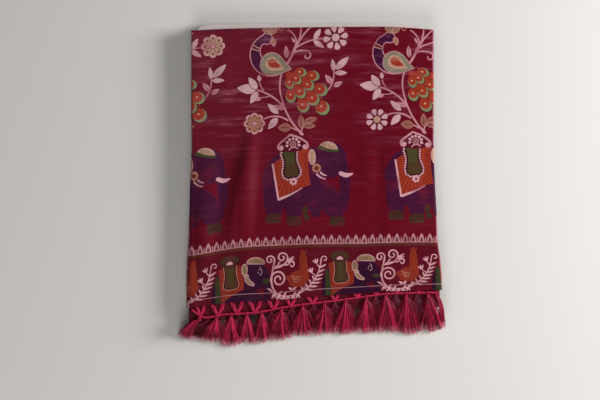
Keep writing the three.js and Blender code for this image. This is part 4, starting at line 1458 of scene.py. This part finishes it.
# The outline of a stack at one height. Each side is set in by its own distance.
def stackRing(stack, nearLine, pull, wave, z):
    count = sidePoints
    t = np.linspace(-1, 1, count, endpoint=False)
    side = np.ones(count)
    squares = [(t, -side), (side, t), (-t, side), (-side, -t)]
    rings = []
    for across, up in squares:
        soft = 1 - 0.02 * (np.abs(across) * np.abs(up)) ** 12
        across, up = across * soft, up * soft
        nominal = across * folded["halfWidth"]
        near = nearLine(nominal) + stack["near"] + pull
        far = topFold(nominal) - stack["far"] - pull
        y = near + (far - near) * (up + 1) / 2
        left = leftEdge(y) + stack["left"] + pull
        right = rightEdge(y) - stack["right"] - pull
        ripple = wave * (np.sin(y * 0.045 + z) + np.sin(nominal * 0.06 + 2 * z)) * 0.12
        x = left + (right - left) * (across + 1) / 2
        rings.append(np.stack([x * (1 - 0.001 * ripple), y - ripple * 0.3, np.full(count, z)], axis=1))
    return np.concatenate(rings)


def addStack(name, key, nearLine, nodeName):
    stack = layers[key]
    thick = (stack["top"] - stack["bottom"]) / stack["count"]
    rings = []
    for i in range(stack["count"]):
        for share, pull in layerEdge:
            z = stack["bottom"] + (i + share) * thick
            setIn = pull * min(1, thick) + layerSteps[i % len(layerSteps)]
            rings.append(stackRing(stack, nearLine, setIn, i % 3, z))
    rings.append(stackRing(stack, nearLine, layerEdge[0][1] * min(1, thick), 0, stack["top"]))
    size = len(rings[0])
    coords = np.concatenate(rings + [rings[0].mean(axis=0)[None], rings[-1].mean(axis=0)[None]])
    faces = wallFaces(len(rings), size)
    last = (len(rings) - 1) * size
    for i in range(size):
        j = (i + 1) % size
        faces.append((len(coords) - 2, j, i))
        faces.append((len(coords) - 1, last + i, last + j))
    mesh = bpy.data.meshes.new(name)
    mesh.from_pydata((coords * mm).tolist(), [], faces)
    smoothMesh(mesh, 70)
    addPiece(name, mesh, plainCloth, [nodeName])
    print(name, "made")


cardSizes = {
    "left": -140,
    "right": 134,
    "near": -152,
    "far": 179.4,
    "bottom": 9.3,
    "top": 10.8,
    "leftRound": 30,
    "rightRound": 24,
    "roundDrop": 8,
    "nearCut": 4,
    "edge": 0.25,
}


def addCard():
    c = cardSizes
    cut = c["nearCut"]
    outline = [(c["left"] + cut, c["near"]), (c["right"] - cut, c["near"]), (c["right"], c["near"] + cut)]
    for t in np.linspace(0, 1, 13):
        outline.append((c["right"] - c["rightRound"] * t ** 2, c["far"] - c["roundDrop"] * (1 - t) ** 2))
    for t in np.linspace(1, 0, 13):
        outline.append((c["left"] + c["leftRound"] * t ** 2, c["far"] - c["roundDrop"] * (1 - t) ** 2))
    outline.append((c["left"], c["near"] + cut))
    ring = np.array(outline)
    centre = ring.mean(axis=0)
    edge = c["edge"]
    levels = [(c["bottom"], edge), (c["bottom"] + edge, 0), (c["top"] - edge, 0), (c["top"], edge)]
    coords = []
    for z, pull in levels:
        inward = (centre - ring) / np.hypot(*(centre - ring).T)[:, None]
        coords.append(np.column_stack([ring + inward * pull, np.full(len(ring), z)]))
    size = len(ring)
    faces = [tuple(range(size))[::-1], tuple(3 * size + i for i in range(size))]
    faces += wallFaces(len(levels), size)
    mesh = bpy.data.meshes.new("card")
    mesh.from_pydata((np.concatenate(coords) * mm).tolist(), [], faces)
    smoothMesh(mesh, 40)
    addPiece("card", mesh, whiteCard, ["card"])
    print("card made")


# A tree that turns lines of points into tubes. Each point carries its own thickness.
def buildThreadTree():
    tree = bpy.data.node_groups.new("spun threads", "GeometryNodeTree")
    tree.interface.new_socket("Geometry", in_out="INPUT", socket_type="NodeSocketGeometry")
    sides = tree.interface.new_socket("Sides", in_out="INPUT", socket_type="NodeSocketInt")
    sides.default_value = 4
    scale = tree.interface.new_socket("Thickness", in_out="INPUT", socket_type="NodeSocketFloat")
    scale.default_value = 1.0
    finish = tree.interface.new_socket("Finish", in_out="INPUT", socket_type="NodeSocketMaterial")
    tree.interface.new_socket("Geometry", in_out="OUTPUT", socket_type="NodeSocketGeometry")
    nodes, links = tree.nodes, tree.links
    entry, leave = nodes.new("NodeGroupInput"), nodes.new("NodeGroupOutput")
    lines = nodes.new("GeometryNodeMeshToCurve")
    thick = nodes.new("GeometryNodeInputNamedAttribute")
    thick.data_type = "FLOAT"
    thick.inputs["Name"].default_value = "thick"
    scaled = nodes.new("ShaderNodeMath")
    scaled.operation = "MULTIPLY"
    section = nodes.new("GeometryNodeCurvePrimitiveCircle")
    section.inputs["Radius"].default_value = 1.0
    tube = nodes.new("GeometryNodeCurveToMesh")
    tube.inputs["Fill Caps"].default_value = True
    smooth = nodes.new("GeometryNodeSetShadeSmooth")
    real = nodes.new("GeometryNodeRealizeInstances")
    dress = nodes.new("GeometryNodeSetMaterial")
    links.new(entry.outputs["Geometry"], lines.inputs["Mesh"])
    links.new(thick.outputs["Attribute"], scaled.inputs[0])
    links.new(entry.outputs["Thickness"], scaled.inputs[1])
    links.new(scaled.outputs[0], tube.inputs["Scale"])
    links.new(entry.outputs["Sides"], section.inputs["Resolution"])
    links.new(lines.outputs["Curve"], tube.inputs["Curve"])
    links.new(section.outputs["Curve"], tube.inputs["Profile Curve"])
    links.new(tube.outputs["Mesh"], smooth.inputs["Geometry"])
    links.new(smooth.outputs["Geometry"], real.inputs["Geometry"])
    links.new(real.outputs["Geometry"], dress.inputs["Geometry"])
    links.new(entry.outputs["Finish"], dress.inputs["Material"])
    links.new(dress.outputs["Geometry"], leave.inputs["Geometry"])
    return tree, {"sides": sides.identifier, "thickness": scale.identifier, "finish": finish.identifier}


threadTree, threadInputs = buildThreadTree()


def threadMesh(name, threads, finish, sides=3):
    coords, edges, along, shade, thick = [], [], [], [], []
    for thread in threads:
        points = thread["points"]
        start, count = len(coords), len(points)
        coords.extend((points * mm).tolist())
        edges.extend((start + i, start + i + 1) for i in range(count - 1))
        along.extend(np.linspace(thread.get("starts", 0), 1, count) * thread.get("tipLit", 1))
        shade.extend([thread["shade"]] * count)
        thick.extend(np.broadcast_to(thread["radius"], count) * mm)
    mesh = bpy.data.meshes.new(name + " lines")
    mesh.from_pydata(coords, edges, [])
    for label, values in (("along", along), ("shade", shade), ("thick", thick)):
        mesh.attributes.new(label, "FLOAT", "POINT").data.foreach_set("value", values)
    holder = bpy.data.objects.new(name + " lines", mesh)
    bpy.context.scene.collection.objects.link(holder)
    modifier = holder.modifiers.new("spun threads", "NODES")
    modifier.node_group = threadTree
    modifier[threadInputs["sides"]] = sides
    modifier[threadInputs["thickness"]] = 1.0
    modifier[threadInputs["finish"]] = finish
    depsgraph = bpy.context.evaluated_depsgraph_get()
    plain = bpy.data.meshes.new_from_object(
        holder.evaluated_get(depsgraph), preserve_all_data_layers=True, depsgraph=depsgraph)
    plain.name = name
    holder.modifiers.remove(modifier)
    bpy.data.objects.remove(holder)
    bpy.data.meshes.remove(mesh)
    return plain


cordRoute = {
    "x": [-146, -141, -135, -126, -109, -82, -60, -39, -14, 9, 46, 83, 112, 151],
    "y": [-166.4, -170.4, -174.6, -175.3, -172.2, -170.6, -168.2,
          -164, -160, -157.4, -152.7, -147.6, -146.1, -145.4],
}
cordAt = lineThrough(cordRoute["x"], cordRoute["y"])

netSizes = {
    "cordRadius": 1.2,
    "cordZ": 18.1,
    "cordPoints": 520,
    "plies": 3,
    "plyTurn": 5.2,
    "plyOut": 0.6,
    "plyRadius": 0.66,
    "knot": {"back": 1.2, "out": 1.35, "turns": 3, "points": 28, "radius": 0.42, "shade": 0.7},
    "loop": {"back": 1.0, "out": 1.3, "turns": 2.5, "points": 24, "radius": 0.4, "shade": 0.55},
    "knotPitch": 0.13,
    "bundle": {"plies": 9, "turns": 0.7, "radius": 0.46, "shade": 0.35},
}

bundlePairs = {
    "x": [-136, -115, -92, -70, -48, -27, -1, 26, 53, 76, 101, 127],
    "spread": [5, 8, 7.5, 8, 7, 6, 6.5, 5, 4, 3, 3, 3],
}

tassels = {
    "head": [-137, -116.5, -99, -80, -62, -38, -12.5, 14, 39.5, 64.5, 88, 112.5, 139],
    "tip": [-153, -126, -100, -79, -62, -42, -15, 12, 38.5, 64, 90.5, 117, 143.5],
    "reach": [-203, -206, -211.5, -208, -207, -204, -199, -197.5, -197, -195.5, -194.5, -197, -194],
    "spread": [5.5, 11.5, 10.5, 8, 6.5, 11.5, 12, 11.5, 11, 11, 11, 12, 11],
    "sweep": [0.5, 0.9, 1, 1, 1, 1, 1, 1, 1, 1, 1, 1, 1],
}

strands = {
    "perTassel": 250,
    "backing": 90,
    "wisps": 110,
    "points": 14,
    "radius": 0.25,
    "wispRadius": 0.22,
    "locks": 17,
    "lockWide": 0.04,
    "headZ": 19.5,
    "neckBelow": 3.0,
    "neckHalf": 1.5,
    "fan": 2.8,
    "open": 1.08,
    "backFan": 5.0,  # the back ones are those of the wider layer under the fan, painted darker as shade
    "backOpen": 0.55,
    "backRagged": 3.0,
    "topZ": 18.3,
    "rise": 2.9,
    "fallFrom": (0.5, 12.2),  # over the bottom fold, but at least so far below the cord
    "tipZ": 1.2,
    "tipRise": 3.0,
    "arc": 2.6,
    "ragged": 3.6,
    "strays": 0.16,
    "strayReach": 3.2,
    "waver": 0.45,
    "lowest": 0.5,
    "wispSpread": 42,  # degrees to both sides of straight down
    "wispLength": (2.0, 5.5),
    "paleTips": [0.85, 0.85, 0.8, 0.75, 0.75, 0.7, 0.6, 0.55, 0.45, 0.45, 0.4, 0.45, 0.6],
}


def smoothStep(t):
    t = np.clip(t, 0, 1)
    return t * t * (3 - 2 * t)


# The threads of one tassel: gathered at its head, opened like a fan in locks, and frayed at the tips.
def tasselThreads(head, tip, reach, spread, sweep, paleTips):
    s = strands
    startY = float(cordAt(head)) - netSizes["cordRadius"] - folded["gap"]
    centreZ = s["headZ"]
    neckY = startY - s["neckBelow"]
    fallY = min(float(bodyFold(head)) + s["fallFrom"][0], startY - s["fallFrom"][1])
    lockSide = np.linspace(-1, 1, s["locks"]) + chance.normal(0, 0.05, s["locks"])
    # Locks are painted lighter and darker in turn, as highlights and shade on the strands.
    lighter = np.where(np.arange(s["locks"]) % 2, 1, -1)
    lockTone = np.clip(0.5 + 0.38 * lighter * chance.uniform(0.3, 1.2, s["locks"]), 0, 1)
    lockLevel = chance.uniform(0.15, 1, s["locks"])
    lockEnd = chance.exponential(s["ragged"], s["locks"])
    threads, ends = [], []
    for i in range(s["perTassel"] + s["backing"]):
        lock = int(chance.integers(s["locks"]))
        if i >= s["perTassel"]:
            side = float(chance.uniform(-1.1, 1.1))
            level, wide, opening = float(chance.uniform(-0.15, 0.1)), spread + s["backFan"], s["backOpen"]
            # The backing threads take a dark tone, painted shade under the fan.
            tone, tipY = chance.normal(0.22, 0.16), reach + chance.exponential(s["backRagged"]) + 2.0
        else:
            side = float(np.clip(lockSide[lock] + chance.normal(0, s["lockWide"]), -1.12, 1.12))
            level, wide, opening = lockLevel[lock] + chance.normal(0, 0.1), spread + s["fan"], s["open"]
            tone = lockTone[lock] + chance.normal(0, 0.13)
            tipY = reach + lockEnd[lock] * 0.5 + chance.exponential(s["ragged"]) * 0.6
        tipY = tipY + s["arc"] * side ** 2 - 1.0
        ys = np.linspace(neckY, tipY, s["points"])
        share = (neckY - ys) / (neckY - tipY)
        fall = smoothStep((fallY - ys) / (fallY - tipY))
        half = s["neckHalf"] + (wide - s["neckHalf"]) * share ** opening
        x = head + (tip - head) * share ** sweep + side * half + chance.normal(0, 0.35) * share
        high = s["topZ"] + level * s["rise"]
        z = high + fall * (s["tipZ"] + level * s["tipRise"] - high)
        z = z + (centreZ + (level - 0.5) * 2.0 - z) * np.exp(-share * 9)
        stray = s["strayReach"] if chance.random() < s["strays"] else 1.0
        waver = stray * chance.normal(0, s["waver"])
        x = x + waver * np.sin(share * np.pi * chance.uniform(1.2, 3.2)) * share
        z = np.maximum(z + 0.3 * np.sin(share * 8 + chance.uniform(0, 6)) * share, s["lowest"])
        points = np.stack([x, ys, z], 1)
        # Some threads get painted highlights at their tips.
        pale = 1.0 if chance.random() < paleTips else 0.84
        threads.append({"points": points, "radius": s["radius"] * np.linspace(1.1, 0.85, len(ys)),
                        "shade": float(np.clip(tone, 0, 1)), "tipLit": pale})
        ends.append(points[-1])
    for i in range(s["wisps"]):
        root = ends[int(chance.integers(len(ends)))]
        way = math.radians(chance.normal(-90, s["wispSpread"]))
        length = chance.uniform(*s["wispLength"])
        t = np.linspace(0, 1, 6)
        curve = chance.normal(0, 2.2) * t ** 2
        points = np.stack([root[0] + math.cos(way) * length * t - math.sin(way) * curve,
                           root[1] + 2.0 + math.sin(way) * length * t + math.cos(way) * curve,
                           np.maximum(root[2] + 0.3 * np.sin(t * 3), 0.4)], 1)
        shade = float(chance.uniform(0.5, 1))
        # Most wisps are painted pale as highlights.
        tipLit = 1.0 if chance.random() < paleTips + 0.2 else 0.88
        threads.append({"points": points, "radius": s["wispRadius"], "shade": shade,
                        "starts": 0.8 + 0.1 * paleTips, "tipLit": tipLit})
    return threads, startY, centreZ


tasselHead = {
    "radius": 1.75,
    "length": 4.4,
    "swell": [0.35, 0.8, 1.0, 0.95, 0.78, 0.66, 0.72],
    "threads": 12,
    "threadRadius": 0.46,
    "shade": 0.45,
    "binding": {"turns": 3.2, "points": 30, "out": 0.82, "down": 0.66, "pitch": 0.085, "radius": 0.36},
}


# A round bulb of threads with a few turns of binding below it.
def headThreads(x, startY, z):
    h, tied = tasselHead, tasselHead["binding"]
    threads = []
    down = np.linspace(0, 1, len(h["swell"])) * h["length"]
    swell = h["radius"] * np.array(h["swell"])
    for turn in roundTurns(h["threads"]):
        points = np.stack([x + np.cos(turn) * swell, startY - down, z + np.sin(turn) * swell], 1)
        tone = h["shade"] + 0.2 * math.sin(turn * 3)
        threads.append({"points": points, "radius": h["threadRadius"], "shade": tone, "tipLit": 0})
    wind = np.linspace(0, tied["turns"] * 2 * np.pi, tied["points"])
    y = startY - h["length"] * tied["down"] - wind * tied["pitch"]
    bound = np.stack([x + np.cos(wind) * h["radius"] * tied["out"], y,
                      z + np.sin(wind) * h["radius"] * tied["out"]], 1)
    threads.append({"points": bound, "radius": tied["radius"], "shade": h["shade"] + 0.25, "tipLit": 0})
    return threads


def addTassels():
    for i, head in enumerate(tassels["head"]):
        threads, startY, centreZ = tasselThreads(
            head, tassels["tip"][i], tassels["reach"][i], tassels["spread"][i], tassels["sweep"][i],
            strands["paleTips"][i])
        threads += headThreads(head, startY, centreZ)
        name = f"tassel_{i + 1:02d}"
        mesh = threadMesh(name + "_threads", threads, tasselThread)
        addPiece(name + "_threads", mesh, None, [name])
    print(len(tassels["head"]), "tassels made")


# The inner tassels hang between the front ones. Each is beside the front tassel of that number, from 0.
underStrands = {
    "count": 130,
    "flyawayCount": 44,
    "radius": 0.3,
    "neckHalf": 1.6,
    "neckBelow": 2.2,
    "fallFrom": (1.8, 6.8),  # over the bottom fold, but at least so far below the cord
    "overPanel": (0.55, 0.9),  # from, and how much more for the highest
    "overFloor": (1.0, 1.0),
    "beside": [0, 2, 4, 5, 6, 7, 9, 10, 11],
    "shorter": 2.0,
    "spread": 13.0,
    "flyaway": {"head": 149.6, "tip": 158.5, "reach": -188, "spread": 3.6, "sweep": 0.5},
}


def addUnderTassels():
    u = underStrands
    rows = []
    for left in u["beside"]:
        middle = [(tassels[key][left] + tassels[key][left + 1]) / 2 for key in ("head", "tip")]
        reach = max(tassels["reach"][left], tassels["reach"][left + 1]) + u["shorter"]
        rows.append({"head": middle[0], "tip": middle[1], "reach": reach, "spread": u["spread"], "sweep": 1})
    rows.append(u["flyaway"])
    for index, row in enumerate(rows):
        startY = float(cordAt(row["head"])) - netSizes["cordRadius"] - 2 * folded["gap"]
        rootY = startY - u["neckBelow"]
        fallY = min(float(bodyFold(row["head"])) + u["fallFrom"][0], startY - u["fallFrom"][1])
        threads = []
        loose = row is u["flyaway"]
        count = u["flyawayCount"] if loose else u["count"]
        for i in range(count):
            side = float(np.clip(-1 + 2 * (i + 0.5) / count + chance.normal(0, 0.1), -1.15, 1.15))
            level = float(chance.uniform(0, 1))
            tipY = row["reach"] + chance.exponential(2.0) - 0.5
            ys = np.concatenate([[startY, startY - 1.1], np.linspace(rootY, tipY, 10)])
            share = np.clip((rootY - ys) / (rootY - tipY), 0, 1)
            fall = smoothStep((fallY - ys) / (fallY - tipY))
            half = u["neckHalf"] + (row["spread"] - u["neckHalf"]) * share ** 0.6
            x = row["head"] + (row["tip"] - row["head"]) * share ** row["sweep"] + side * half
            x = x + chance.normal(0, 0.6) * share
            high = folded["bodyTop"] + u["overPanel"][0] + level * u["overPanel"][1]
            z = high + fall * (u["overFloor"][0] + level * u["overFloor"][1] - high)
            x = x + chance.normal(0, 0.5) * np.sin(share * np.pi * 1.6) * share
            threads.append({"points": np.stack([x, ys, z], 1), "radius": u["radius"],
                            "shade": float(np.clip(chance.normal(0.5, 0.3), 0, 1))})
        name = f"under_tassel_{index + 1:02d}"
        # The inner rows take the darker thread as painted shade; the loose one takes the front thread.
        mesh = threadMesh(name + "_threads", threads, tasselThread if loose else shadedUnderThread)
        addPiece(name + "_threads", mesh, None, [name])
    print(len(rows), "inner tassels made")


# A twisted bundle between two points, widest at its middle.
def twistedBundle(start, end, swell, plies, turns, radius, shade):
    start, end = np.array(start, float), np.array(end, float)
    t = np.linspace(0, 1, 15)
    run = end - start
    across = np.array([-run[1], run[0], 0]) / np.hypot(run[0], run[1])
    threads = []
    for ply in range(plies):
        turn = 2 * np.pi * (turns * t + ply / plies)
        out = swell * (0.35 + 0.65 * np.sin(t * np.pi))
        points = start + run * t[:, None] + across * (np.cos(turn) * out)[:, None]
        points[:, 2] += np.sin(turn) * 0.42 * out / swell
        threads.append({"points": points, "radius": radius, "shade": shade + 0.2 * (ply % 4), "tipLit": 0})
    return threads


# A thread wound a few times round the cord.
def woundThread(x, knot):
    wind = np.linspace(0, knot["turns"] * 2 * np.pi, knot["points"])
    across = x - knot["back"] + wind * netSizes["knotPitch"]
    points = np.stack([across, cordAt(x) + knot["out"] * np.cos(wind),
                       netSizes["cordZ"] + knot["out"] * np.sin(wind)], 1)
    return {"points": points, "radius": knot["radius"], "shade": knot["shade"], "tipLit": 0}


def addFringeNet():
    n = netSizes
    threads = []
    start, end = cordRoute["x"][0], cordRoute["x"][-1]
    xs = np.linspace(start, end, n["cordPoints"])
    ys = cordAt(xs)
    length = np.concatenate([[0], np.cumsum(np.hypot(np.diff(xs), np.diff(ys)))])
    for ply in range(n["plies"]):
        turn = 2 * np.pi * (length / n["plyTurn"] + ply / n["plies"])
        points = np.stack([xs, ys + n["plyOut"] * np.cos(turn), n["cordZ"] + n["plyOut"] * np.sin(turn)], 1)
        threads.append({"points": points, "radius": n["plyRadius"], "shade": 0.55 + 0.15 * ply, "tipLit": 0})
    for x, spread in zip(bundlePairs["x"], bundlePairs["spread"]):
        for side in (-1, 1):
            leave = x + side * spread
            origin = (leave, float(hem(leave)) + 1.4, folded["bodyTop"] + 0.9)
            meet = (x + side * 0.5, float(cordAt(x)), n["cordZ"] - 0.2)
            threads += twistedBundle(origin, meet, 1.0 + 0.1 * spread, **n["bundle"])
        threads.append(woundThread(x, n["knot"]))
    threads += [woundThread(head, n["loop"]) for head in tassels["head"]]
    mesh = threadMesh("fringe_net_threads", threads, tasselThread, 4)
    addPiece("fringe_net_threads", mesh, None, ["fringe_net"])
    print("fringe net made")


addCamera()
addStudio()
addStack("underLayers", "under", bodyFold, "under_stack")
addCard()
addStack("overLayers", "over", bodyFold, "over_stack")
bodyPiece = addBodyPanel()
addStack("palluInner", "inner", hem, "pallu_inner")
palluPiece = addPalluFront()
addFringeNet()
addTassels()
addUnderTassels()
